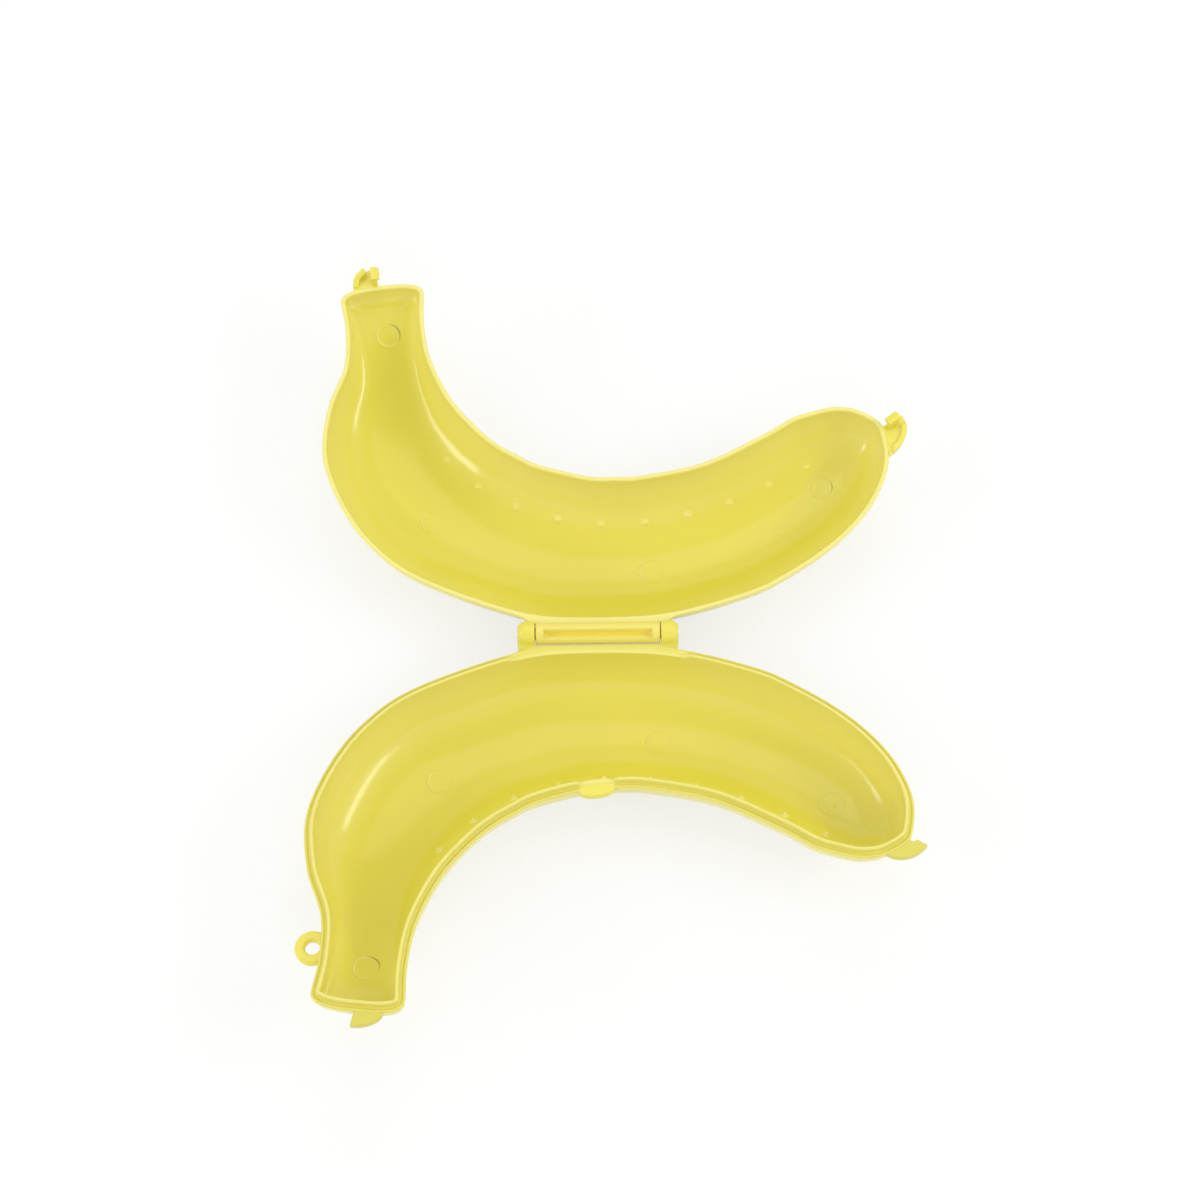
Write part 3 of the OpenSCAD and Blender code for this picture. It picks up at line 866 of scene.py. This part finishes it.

# %% [markdown]
# At both stems, and a little at the lid's tip, the pin left more: a hairline of flash along one side of its
# mark, dark with the shade in the crack beside it. It is a fine bead along an arc, thickest in its middle,
# in a dark copy of the same plastic that paints that shadow. A bead of real height catches the light as the
# real hairline does, which a painted line wouldn't.

# %% Flash at the marks, with painted shadow
FLASHES = [
    ("lid", "stem", 0, -30, 95, 1),
    ("base", "stem", 0, -100, 15, 1),
    ("lid", "tip", 3, -35, 40, 0.6),
]
FLASH_R = 4.02
FLASH_WIDE = 0.2
FLASH_HIGH = 0.16
FLASH_STEPS = 36
FLASH_END = 0.15
FLASH_SECTION = [(-1, -1.5), (-1, 0.2), (-0.5, 1), (0.5, 1), (1, 0.2), (1, -1.5)]
# The bead's dark colours are painted shadow.
SHADOW_LEMON = (0.30, 0.26, 0.03, 1)
HALF_SHADOW_LEMON = (0.42, 0.36, 0.04, 1)
SHADOW_FLASH_FINISH = (0.4, 0.2)
shadow_flash_plastic = moulded_plastic("painted_shadow_flash_plastic", SHADOW_LEMON, HALF_SHADOW_LEMON, *SHADOW_FLASH_FINISH)


def flash(half, middle, normal, first, last, full):
    """A bead on the floor from one turn to another, in degrees; full is its size in the middle."""
    rings = []
    for k in range(FLASH_STEPS + 1):
        turn = math.radians(first + (last - first) * k / FLASH_STEPS)
        size = full * (FLASH_END + (1 - FLASH_END) * math.sin(math.pi * k / FLASH_STEPS))
        ring = []
        for wide, high in FLASH_SECTION:
            foot = on_floor(half, middle, normal, FLASH_R + wide * size * FLASH_WIDE, turn)
            ring.append(foot + high * size * FLASH_HIGH * normal)
        rings.append(np.array(ring))
    return loft(rings, caps=True)


for half, end, mark, first, last, full in FLASHES:
    x, v = MARKS[half][mark][0:2]
    bead = flash(half, *floor_under(half, x, v), first, last, full)
    make_piece(f"{half}_{end}_flash", half, bead, shadow_flash_plastic, [])

# %% [markdown]
# The hinge is a bar on the lid between two ears on the base. Seen along the hinge, each is a circle round
# the axis joined to an arm or web that leads to its bowl. Cylinders and blocks could be joined by
# booleans. But every ray from the axis leaves that shape once, so a profile is simply a radius for each
# angle, and rings of it along the axis make the piece in one go, with rounded ends.

# %% Hinge profiles
EAR_R = 3.9
EAR_ARM_T = 4.8
EAR_INTO_WALL = 2.4
WEB_T = 3.2
WEB_INTO_WALL = 1.2
STEP_DOWN = 0.12
PROFILE_SIDES = 180


def hinge_profile(radius, arm_t, into_wall):
    """Radius for each angle: 0 points away from the axis along v, and 90 degrees points up."""
    radii = []
    for k in range(PROFILE_SIDES):
        turn = 2 * math.pi * k / PROFILE_SIDES
        away, up = math.cos(turn), math.sin(turn)
        reach = radius
        if away > 0 and up < 0:
            to_end = (WALL_FROM_AXIS + into_wall) / away
            to_bottom = (RIM_DROP + arm_t) / -up
            from_top = (RIM_DROP + STEP_DOWN) / -up
            if from_top < min(to_end, to_bottom):
                reach = max(radius, min(to_end, to_bottom))
        radii.append(reach)
    return np.array(radii)


def axis_ring(x, radii, sides):
    """A ring round the hinge's axis."""
    turns = 2 * np.pi * np.arange(sides) / sides
    return np.column_stack([np.full(sides, x), radii * np.cos(turns), radii * np.sin(turns)])


def rounded_ring(x_end, inward_sign, radius, turn, radii, least=0):
    """A ring near an end, where the profile shrinks along a quarter circle; turn 0 is the end itself."""
    back = radius * (1 - math.cos(turn))
    shrink = radius * (1 - math.sin(turn))
    return axis_ring(x_end + inward_sign * back, np.maximum(radii - shrink, least), PROFILE_SIDES)


ear_radii = hinge_profile(EAR_R, EAR_ARM_T, EAR_INTO_WALL)
bar_radii = hinge_profile(BARREL_R, WEB_T, WEB_INTO_WALL)
print("an ear reaches", round(ear_radii.max(), 1), "mm from the axis, the bar", round(bar_radii.max(), 1))

# %% [markdown]
# Each ear holds a stub pin in a bore. Its outer end is well rounded, which shows from above as the soft
# corner beside the hinge, and its inner end is only eased. The loft runs along the outside and back
# through the bore, so it is closed like a tyre and needs no cut for the hole.

# %% Ears
BARREL_L = 39.6
END_GAP = 0.3
EAR_W = 5.5
EAR_ROUND = 2.4
BORE_R = 2.05
EASE = 0.25
EAR_END_R = BORE_R + 2 * EASE
QUARTER = np.radians([0, 18, 36, 54, 72, 90])


def ear(sign):
    inner = sign * (BARREL_L / 2 + END_GAP)
    outer = inner + sign * EAR_W
    rings = [rounded_ring(inner, sign, EASE, t, ear_radii) for t in QUARTER]
    rings += [rounded_ring(outer, -sign, EAR_ROUND, t, ear_radii, EAR_END_R) for t in QUARTER[::-1]]
    bore = [(outer, EASE), (outer - sign * EASE, 0), (inner + sign * EASE, 0), (inner, EASE)]
    rings += [axis_ring(x, np.full(PROFILE_SIDES, BORE_R + wider), PROFILE_SIDES) for x, wider in bore]
    return loft(rings, closed=True)


make_piece("left_ear", "base", ear(-1), feature_plastic, ["hinge_ear_left"])
make_piece("right_ear", "base", ear(1), feature_plastic, ["hinge_ear_right"])

# %% [markdown]
# The lid's hinge bar has a long slot sunk into it, which keeps the thick plastic from shrinking unevenly.
# The slot only lowers the profile's radius over a few degrees, on the rings between its two ends. Its
# walls lean a little, as every moulded wall does. Light gathers in the slot, and it looks golden, so the
# bar's colour is painted warmer for that gathered light, and only its outside gets the painted glow of
# light through the plastic.

# %% Hinge bar
SLOT_L = 34.5
SLOT_W = 3.2
SLOT_DEPTH = 2.4
SLOT_LEAN = 25
SLOT_EDGE = 0.3
SLOT_DRAFT = 0.1
SLOT_RINGS = 24
EDGE_DROP = 0.12
EDGE_DEGREES = 3
# The bar's warmer colour is painted light, gathered in the slot.
BAR_LEMON = (0.86, 0.69, 0.04, 1)
PALE_BAR = (0.89, 0.71, 0.05, 1)
BAR_GLOW = 0.6
bar_plastic = moulded_plastic("warm_bar_plastic", BAR_LEMON, PALE_BAR, *POLISHED)


def bar_ring(x, radii):
    return axis_ring(x, radii, PROFILE_SIDES)


def hinge_bar():
    """The bar's points and faces, and the painted glow of its points."""
    from_slot = np.abs(360 * np.arange(PROFILE_SIDES) / PROFILE_SIDES - (90 + SLOT_LEAN))
    half_turn = math.degrees(math.asin(SLOT_W / 2 / BARREL_R))
    in_slot = from_slot < half_turn
    sunk = (BARREL_R - SLOT_DEPTH) / np.cos(np.radians(np.minimum(from_slot, half_turn)))
    slotted = np.where(in_slot, np.minimum(bar_radii, sunk), bar_radii)
    eased = np.where(from_slot < half_turn + EDGE_DEGREES, bar_radii - EDGE_DROP, bar_radii)
    end = BARREL_L / 2
    slot_end = SLOT_L / 2
    rings = [rounded_ring(-end, 1, EASE, t, bar_radii) for t in QUARTER]
    rings += [bar_ring(-slot_end - SLOT_EDGE, bar_radii), bar_ring(-slot_end, eased)]
    along_slot = np.linspace(-slot_end + SLOT_DRAFT, slot_end - SLOT_DRAFT, SLOT_RINGS)
    rings += [bar_ring(x, slotted) for x in along_slot]
    rings += [bar_ring(slot_end, eased), bar_ring(slot_end + SLOT_EDGE, bar_radii)]
    rings += [rounded_ring(end, -1, EASE, t, bar_radii) for t in QUARTER[::-1]]
    painted_glow = [np.where(in_slot & (abs(ring[0, 0]) < slot_end), 0, BAR_GLOW) for ring in rings]
    return loft(rings, caps=True), np.concatenate(painted_glow)


bar_shape, bar_glow = hinge_bar()
make_piece("hinge_bar", "lid", bar_shape, bar_plastic, ["lid_hinge_barrel"], painted_glow=bar_glow)

# %% [markdown]
# A stub pin stands at each end of the bar, out of sight in its ear. It is moulded with the lid, so it
# rides on the lid. It still gets a rounded tip, because the case can be taken apart.

# %% Hinge pins
PIN_R = 2
PIN_ROUND = 0.5
PIN_SIDES = 48


def pin(sign):
    root = sign * BARREL_L / 2
    tip = root + sign * EAR_W
    rings = [axis_ring(root, PIN_R, PIN_SIDES)]
    for t in QUARTER[::-1]:
        x = tip - sign * PIN_ROUND * (1 - math.cos(t))
        rings.append(axis_ring(x, PIN_R - PIN_ROUND * (1 - math.sin(t)), PIN_SIDES))
    return loft(rings, caps=True)


make_piece("left_pin", "lid", pin(-1), feature_plastic, ["hinge_pin_left"])
make_piece("right_pin", "lid", pin(1), feature_plastic, ["hinge_pin_right"])

# %% [markdown]
# The latch lugs are flat plates with a straight edge at the seam and a curved back, like the fin of a
# fish. A plate is its plan drawn twice, at its top and its bottom. It could be an extruded curve, but as
# a loft it can be joined with others into one mesh. The root of each plate reaches into the bowl's wall.

# %% The plan of a lug
LUG_T = 2.2
LUG_STEPS = 20
LUG_ROOT = -0.9
NOTCH_REACH = 1.2
Lug = namedtuple("Lug", "cap side seam width reach lean swell")


def plate(plan, low, high):
    """A flat plate between two heights."""
    rings = [np.column_stack([plan, np.full(len(plan), height)]) for height in (low, high)]
    return loft(rings, caps=True)


def lug_back(lug, inset=0):
    """The curved back of a lug, from its outer end to its root; a swell under 1 makes it fuller."""
    width = lug.width - inset
    reach = lug.reach - inset
    root_lift = lug.cap.rise(lug.cap.share(lug.seam + lug.side * width)) - lug.cap.bulge
    back = []
    for k in range(LUG_STEPS):
        turn = math.pi / 2 * k / LUG_STEPS
        spread = lug.side * width * math.sin(turn) ** lug.swell
        lift = root_lift + (reach - root_lift) * math.cos(turn) ** lug.swell
        back.append(lug.cap.beyond(lug.seam + lug.lean * math.cos(turn) + spread, lift))
    return back


def lug_plan(lug, notch):
    """The whole plan of a lug, with a notch beside its seam where one is asked for."""
    start = lug.seam + lug.side * notch
    span = lug.side * (lug.width - notch)
    roots = [lug.cap.share(start + span * (1 - k / LUG_STEPS)) for k in range(LUG_STEPS + 1)]
    plan = [lug.cap.at(root, LUG_ROOT) for root in roots]
    if notch:
        plan.append(lug.cap.beyond(start, NOTCH_REACH))
        plan.append(lug.cap.beyond(lug.seam + lug.lean / 3, NOTCH_REACH + notch / 2))
    return np.array(plan + lug_back(lug))


print("a lug is", LUG_T, "mm thick")

# %% [markdown]
# A raised wall runs along the back of each of the lid's lugs. At the stem it climbs towards the springy
# finger, and it stops short of the finger, which needs room to bend. A bevelled curve could follow the
# back too, but the wall has a flat top and changes its height, so it is a loft of four-cornered sections.

# %% The raised back of a lug
BACK_T = 2.1
BACK_H = 0.6
BACK_SKIP = 5


def raised_back(lug, climb):
    """The wall along the back of a lug; climb is how much higher it gets at its outer end."""
    outer = lug_back(lug)[BACK_SKIP:]
    inner = lug_back(lug, BACK_T)[BACK_SKIP:]
    low = -RIM_DROP - LUG_T / 2
    rings = []
    for far, near, height in zip(outer, inner, climb * np.linspace(1, 0, len(outer))):
        top = -RIM_DROP + BACK_H + height
        rings.append(np.array([(*far, low), (*far, top), (*near, top), (*near, low)]))
    return loft(rings, caps=True)


print("the raised back has", LUG_STEPS - BACK_SKIP, "sections")

# %% [markdown]
# Each end of the case has a pair of lugs, one on each half, side by side at a seam. Four meshes could be
# drawn by hand, but one function with a few sizes keeps them alike. The base's lugs get a darker copy of
# the features' plastic, which paints shade on them, and the one at the tip has a small notch beside the
# seam.

# %% Latch lugs
LUG_W = 8.6
LUG_REACH = {"base": 4.6, "lid": 6.4}
LUG_SOFT = 0.35
TIP_EXTRA = 0.8
STEM_SPLIT = 0.5
TIP_SPLIT = 1.4
LATCH_GAP = 0.4
SEAM_LEAN = 0.6
PLATE_DROP = 0.1
BASE_NOTCH = {"stem": 0, "tip": 1.1}
LID_SWELL = {"stem": 0.86, "tip": 1}
LID_CLIMB = {"stem": 2.2, "tip": 0.3}
# A darker copy of the satin plastic for the base's lugs: painted shade.
SHADED_LATCH_LEMON = (0.67, 0.60, 0.075, 1)
PALE_SHADED_LATCH = (0.71, 0.64, 0.095, 1)
shaded_latch_plastic = moulded_plastic("satin_latch_plastic", SHADED_LATCH_LEMON, PALE_SHADED_LATCH, *SATIN)


def seam_of(outer_side, split, lug_side):
    return outer_side * split + lug_side * LATCH_GAP / 2


def lug_shape(half, end, lug):
    plan = lug_plan(lug, BASE_NOTCH[end] if half == "base" else 0)
    shape = plate(plan, -RIM_DROP - LUG_T, -RIM_DROP - PLATE_DROP)
    return shape if half == "base" else joined([shape, raised_back(lug, LID_CLIMB[end])])


LATCHES = {"stem": (stem_cap, -1, STEM_SPLIT, 0), "tip": (tip_cap, 1, TIP_SPLIT, TIP_EXTRA)}
for end, (cap, outer_side, split, extra) in LATCHES.items():
    lug_sides = (("base", -outer_side, shaded_latch_plastic), ("lid", outer_side, feature_plastic))
    for half, lug_side, plastic in lug_sides:
        seam = seam_of(outer_side, split, lug_side)
        swell = LID_SWELL[end] if half == "lid" else 1
        size = (LUG_W + extra, LUG_REACH[half] + extra, outer_side * SEAM_LEAN, swell)
        shape = lug_shape(half, end, Lug(cap, lug_side, seam, *size))
        hook = make_piece(f"{half}_{end}_hook", half, shape, plastic, [f"{half}_{end}_lug"])
        soften(hook, LUG_SOFT)

# %% [markdown]
# On each of the lid's lugs stands a springy finger with a barb, which snaps under the base's lug. It
# bends, so it is a body of its own, and it can't be part of the lug's mesh. Its side view is drawn once
# and swept along the lug's edge.

# %% Springy catches
CATCH_START = 0.4
CATCH_T = 1.6
CATCH_L = 4.6
CATCH_FOOT = 0.2
CATCH_GAP = 0.3
CATCH_SOFT = 0.4
BARB = 1.3
BARB_H = 1.5
BARB_SLOPE = 0.3
barb_low = RIM_DROP + LUG_T + CATCH_GAP
CATCH_SIDE = [
    (0, CATCH_FOOT),
    (0, barb_low),
    (-BARB, barb_low + BARB_SLOPE),
    (-BARB, barb_low + 2 * BARB_SLOPE),
    (0, barb_low + BARB_H),
    (CATCH_T, barb_low + BARB_H),
    (CATCH_T, CATCH_FOOT),
]
for end, (cap, outer_side, split, extra) in LATCHES.items():
    foot = cap.beyond(seam_of(outer_side, split, outer_side) + outer_side * SEAM_LEAN, CATCH_START)
    rings = []
    for reach in (0, CATCH_L):
        plan = [foot + cap.along * outer_side * across + cap.out * reach for across, height in CATCH_SIDE]
        rings.append(np.column_stack([plan, [height for across, height in CATCH_SIDE]]))
    finger = loft(rings, caps=True)
    nodes = [f"lid_{end}_catch"]
    piece = make_piece(f"{end}_snap_finger", "lid", finger, feature_plastic, nodes, f"{end}_catch")
    soften(piece, CATCH_SOFT)

# %% [markdown]
# A small thumb tab at the middle of the inner bend pulls the halves apart. It is one more plate. Its root
# follows the inner edge of the base, so it could be no simple block, and a sine bends its outer edge.

# %% Thumb tab
TAB_REACH = 2.6
TAB_T = 2.4
TAB_STEPS = 40
TAB_ROUND = 0.5
TAB_ROOT = 1.2
TAB_PROUD = 0.08
TAB_SOFT = 0.7
BEND_REACH = 62
inner_bend = np.array([p for p in inside_edge if p[1] < WALL_FROM_AXIS + BEND_REACH])


def tab_edge(k):
    x = tab_x + TAB_W * (k / TAB_STEPS - 0.5)
    return np.array([x, np.interp(x, inner_bend[:, 0], inner_bend[:, 1])])


tab_plan = [tab_edge(k) - np.array([0, TAB_ROOT]) for k in range(TAB_STEPS + 1)]
for k in range(TAB_STEPS, -1, -1):
    out = TAB_REACH * math.sin(math.pi * k / TAB_STEPS) ** TAB_ROUND if 0 < k < TAB_STEPS else 0
    tab_plan.append(tab_edge(k) + np.array([0, out]))
tab_shape = plate(np.array(tab_plan), -RIM_DROP - TAB_T, -RIM_DROP + TAB_PROUD)
soften(make_piece("pull_tab", "base", tab_shape, feature_plastic, ["thumb_tab"]), TAB_SOFT)

# %% [markdown]
# A ring at the neck takes a cord. A torus would be too round: the real ring is flat with soft edges. So a
# square section with rounded corners is turned round the hole like work on a lathe. The ring's place
# comes from the neck's rib, at the depth where the ring meets the wall.

# %% The ring's place and section
RING_BORE_R = 2.2
RING_R = 5.29
RING_T = 3
RING_DROP = 4
RING_RIB = 1.33
RING_WEB = 0.4
RING_GAP = 0.65
RING_ROUND = 0.9
RING_OUT = RING_BORE_R + RING_WEB + RING_GAP


def ring_place():
    """The ring's middle in plan, and its direction out of the case."""
    rib = rib_at(RING_RIB)
    inside, outside, depth = rib[0:2], rib[2:4], rib[4]
    out = unit(outside - inside)
    power = 2 + (BOXY_POWER - 2) * (1 - RING_RIB / BOXY_RIBS)
    share = (1 - (RING_DROP / depth) ** power) ** (1 / power)
    wall = outside - out * np.linalg.norm(outside - inside) / 2 * (1 - share)
    return wall + out * RING_OUT, out


def ring_section():
    """Points (radius, height) round the section, with its four corners rounded."""
    corners = [(RING_R, 0, 0), (RING_R, RING_T, 1), (RING_BORE_R, RING_T, 2), (RING_BORE_R, 0, 3)]
    section = []
    for radius, height, quarter in corners:
        side = -1 if radius == RING_R else 1
        rise = 1 if height == 0 else -1
        for t in QUARTER:
            turn = t + math.pi / 2 * (quarter - 1)
            r = radius + RING_ROUND * (side + math.cos(turn))
            section.append((r, height + RING_ROUND * (rise + math.sin(turn))))
    return section


ring_middle, ring_out = ring_place()
print("the ring's middle in plan:", np.round(ring_middle, 1))

# %% [markdown]
# The lathed ring would stick through the wall into the bowl. Bisecting its mesh with a plane inside the
# wall cuts that part off, and filling the holes closes the ring again.

# %% Lanyard ring
RING_SIDES = 96
RING_ROOT = 1.3
ring_turns = 2 * np.pi * np.arange(RING_SIDES) / RING_SIDES
ring_rings = []
for radius, height in ring_section():
    plan = ring_middle + radius * np.column_stack([np.cos(ring_turns), np.sin(ring_turns)])
    ring_rings.append(np.column_stack([plan, np.full(RING_SIDES, height - RING_DROP - RING_T)]))
ring_shape = loft(ring_rings, closed=True)
lanyard = make_piece("lanyard_loop", "base", ring_shape, feature_plastic, ["lanyard_ring"])
cut_at = ring_middle - ring_out * (RING_OUT + RING_ROOT)
cut_point, cut_ahead = place([[*cut_at, 0], [*(cut_at + ring_out), 0]], "base")
work = bmesh.new()
work.from_mesh(lanyard.data)
cut = bmesh.ops.bisect_plane(
    work,
    geom=work.verts[:] + work.edges[:] + work.faces[:],
    plane_co=cut_point,
    plane_no=cut_ahead - cut_point,
    clear_inner=True,
)
bmesh.ops.holes_fill(work, edges=[e for e in cut["geom_cut"] if isinstance(e, bmesh.types.BMEdge)])
work.to_mesh(lanyard.data)
work.free()
print("the cut ring has", len(lanyard.data.polygons), "faces")

# %% [markdown]
# The case lies on a large pale sheet. More light on the sheet would make it white, but would bleach the
# plastic too. So to the camera, and in reflections, most of the sheet's brightness is a plain white glow,
# and the rest is paper that keeps a soft shadow. Far from the case, where the lamps don't reach, the glow
# takes over. The Light Path node tells which ray asks, and a length gives the distance.

# %% What the glow follows
GLOW_SHARE = 0.7
FADE_FROM = 0.5
FADE_TO = 1.2


def seen_directly(tree):
    """1 for what the camera sees, straight or in a glossy or clear surface."""
    ray = tree.nodes.new("ShaderNodeLightPath")
    seen = ray.outputs["Is Camera Ray"]
    for other_ray in ("Is Glossy Ray", "Is Transmission Ray"):
        either = tree.nodes.new("ShaderNodeMath")
        either.operation = "MAXIMUM"
        tree.links.new(seen, either.inputs[0])
        tree.links.new(ray.outputs[other_ray], either.inputs[1])
        seen = either.outputs["Value"]
    return seen


def glow_share(tree):
    """The glow's share, which grows to 1 with the distance from the case."""
    place_on = tree.nodes.new("ShaderNodeTexCoord")
    distance = tree.nodes.new("ShaderNodeVectorMath")
    distance.operation = "LENGTH"
    fade = tree.nodes.new("ShaderNodeMapRange")
    fade.inputs["From Min"].default_value = FADE_FROM
    fade.inputs["From Max"].default_value = FADE_TO
    fade.inputs["To Min"].default_value = GLOW_SHARE
    tree.links.new(place_on.outputs["Object"], distance.inputs[0])
    tree.links.new(distance.outputs["Value"], fade.inputs["Value"])
    return fade.outputs["Result"]


print("the glow's share grows from", FADE_FROM, "to", FADE_TO, "m")

# %% [markdown]
# The sheet's paper is a dull white, with hardly any sheen. A mix shader lays the glow over it.

# %% White paper
PAPER_WHITE = (0.95, 0.95, 0.95, 1)
PAPER_ROUGHNESS = 0.9
PAPER_SHEEN = 0.1
paper = bpy.data.materials.new("white_paper")
paper.use_nodes = True
tree = paper.node_tree
paper_shader = tree.nodes["Principled BSDF"]
paper_shader.inputs["Base Color"].default_value = PAPER_WHITE
paper_shader.inputs["Roughness"].default_value = PAPER_ROUGHNESS
paper_shader.inputs["Specular IOR Level"].default_value = PAPER_SHEEN
glow = tree.nodes.new("ShaderNodeEmission")
blend = tree.nodes.new("ShaderNodeMixShader")
share = tree.nodes.new("ShaderNodeMath")
share.operation = "MULTIPLY"
tree.links.new(seen_directly(tree), share.inputs[0])
tree.links.new(glow_share(tree), share.inputs[1])
tree.links.new(share.outputs["Value"], blend.inputs["Fac"])
tree.links.new(paper_shader.outputs["BSDF"], blend.inputs[1])
tree.links.new(glow.outputs["Emission"], blend.inputs[2])
tree.links.new(blend.outputs["Shader"], tree.nodes["Material Output"].inputs["Surface"])
print(paper.name, "has", len(tree.nodes), "nodes")

# %% [markdown]
# The table itself is one flat square under the case. It is so large that its edge lies beyond every view.
# It is stage, not part of the case.

# %% Table
FLOOR_SIZE = 60
half_floor = FLOOR_SIZE / 2
corners = [(x * half_floor, y * half_floor, 0) for x, y in ((-1, -1), (1, -1), (1, 1), (-1, 1))]
table_mesh = bpy.data.meshes.new("pale_table")
table_mesh.from_pydata(corners, [], [(0, 1, 2, 3)])
table_mesh.materials.append(paper)
table = bpy.data.objects.new("pale_table", table_mesh)
bpy.context.scene.collection.objects.link(table)
print("the table is", FLOOR_SIZE, "m wide")

# %% [markdown]
# The world round the table is white to the camera, and gives the case less light than that, so that the
# lamps can model its form.

# %% World
WORLD_LIGHT = 0.47
world = bpy.data.worlds.new("studio")
world.use_nodes = True
tree = world.node_tree
background = tree.nodes["Background"]
background.inputs["Color"].default_value = (1, 1, 1, 1)
sky = tree.nodes.new("ShaderNodeMath")
sky.operation = "MULTIPLY_ADD"
sky.inputs[1].default_value = 1 - WORLD_LIGHT
sky.inputs[2].default_value = WORLD_LIGHT
tree.links.new(seen_directly(tree), sky.inputs[0])
tree.links.new(sky.outputs["Value"], background.inputs["Strength"])
bpy.context.scene.world = world
print("the world's light on the case:", WORLD_LIGHT)

# %% [markdown]
# Studio light: two soft boxes stand left and right of the table, and a large one hangs above and behind.
# Their reflections make the long soft streaks in the bowls. Four large fills brighten the shadows from
# all sides. They are hidden from reflections, because four more streaks would show that the real case
# doesn't have.

# %% Soft boxes
TABLE_AIM = Vector((0, 0, 0.01))
FILL_SIZE = (1.2, 0.8)
SOFT_BOXES = {
    "left_box": ((-0.98, -0.25, 0.37), (0.55, 0.2), 1.7),
    "right_box": ((0.92, -0.12, 0.66), (0.7, 0.14), 1.9),
    "top_box": ((0, 0.4, 1.3), (1.2, 0.8), 2.4),
}
FILLS = {
    "front_fill": ((0, -1.2, 1), FILL_SIZE, 5),
    "left_fill": ((-1.2, 0, 0.9), FILL_SIZE, 3.4),
    "right_fill": ((1.2, 0, 0.9), FILL_SIZE, 4),
    "back_fill": ((0, 1.2, 0.8), FILL_SIZE, 4),
}


def soft_box(name, place_at, size, power):
    lamp = bpy.data.lights.new(name, "AREA")
    lamp.shape = "RECTANGLE"
    lamp.size, lamp.size_y = size
    lamp.energy = power
    box = bpy.data.objects.new(name, lamp)
    box.location = place_at
    box.rotation_euler = (TABLE_AIM - Vector(place_at)).to_track_quat("-Z", "Y").to_euler()
    bpy.context.scene.collection.objects.link(box)
    return box


for name, box in SOFT_BOXES.items():
    soft_box(name, *box)
for name, box in FILLS.items():
    soft_box(name, *box).visible_glossy = False
print("lamps:", [lamp.name for lamp in bpy.data.lights])

# %% [markdown]
# The camera looks down at the open case from the base's side, with a mild telephoto lens, as in the
# photograph. Its three directions are worked out from its rise and its small roll, and make up its
# matrix. A track constraint would aim it as well, but couldn't roll it.

# %% Camera
CAMERA_RISE = math.radians(65)
CAMERA_FAR = 0.7385
CAMERA_ROLL = math.radians(0.64)
LENS = 68.9
SENSOR = 36
AIM_X = 0.8 * MM
AIM_OUT = 12.2 * MM
aim_from_hinge = Vector((AIM_X, AIM_OUT * math.cos(OPEN_TILT), -AIM_OUT * math.sin(OPEN_TILT)))
back = Vector((0, -math.cos(CAMERA_RISE), math.sin(CAMERA_RISE)))
right = Vector((1, 0, 0))
up = back.cross(right)
rolled_right = math.cos(CAMERA_ROLL) * right - math.sin(CAMERA_ROLL) * up
rolled_up = math.sin(CAMERA_ROLL) * right + math.cos(CAMERA_ROLL) * up
lens = bpy.data.cameras.new("camera")
lens.lens = LENS
lens.sensor_width = SENSOR
camera = bpy.data.objects.new("camera", lens)
turn = Matrix((rolled_right, rolled_up, back)).transposed().to_4x4()
camera.matrix_world = Matrix.Translation(Vector(HINGE_MIDDLE) + aim_from_hinge + CAMERA_FAR * back) @ turn
bpy.context.scene.collection.objects.link(camera)
bpy.context.scene.camera = camera
bpy.context.scene.view_settings.view_transform = "Standard"
print("camera at:", np.round(camera.matrix_world.translation, 3))
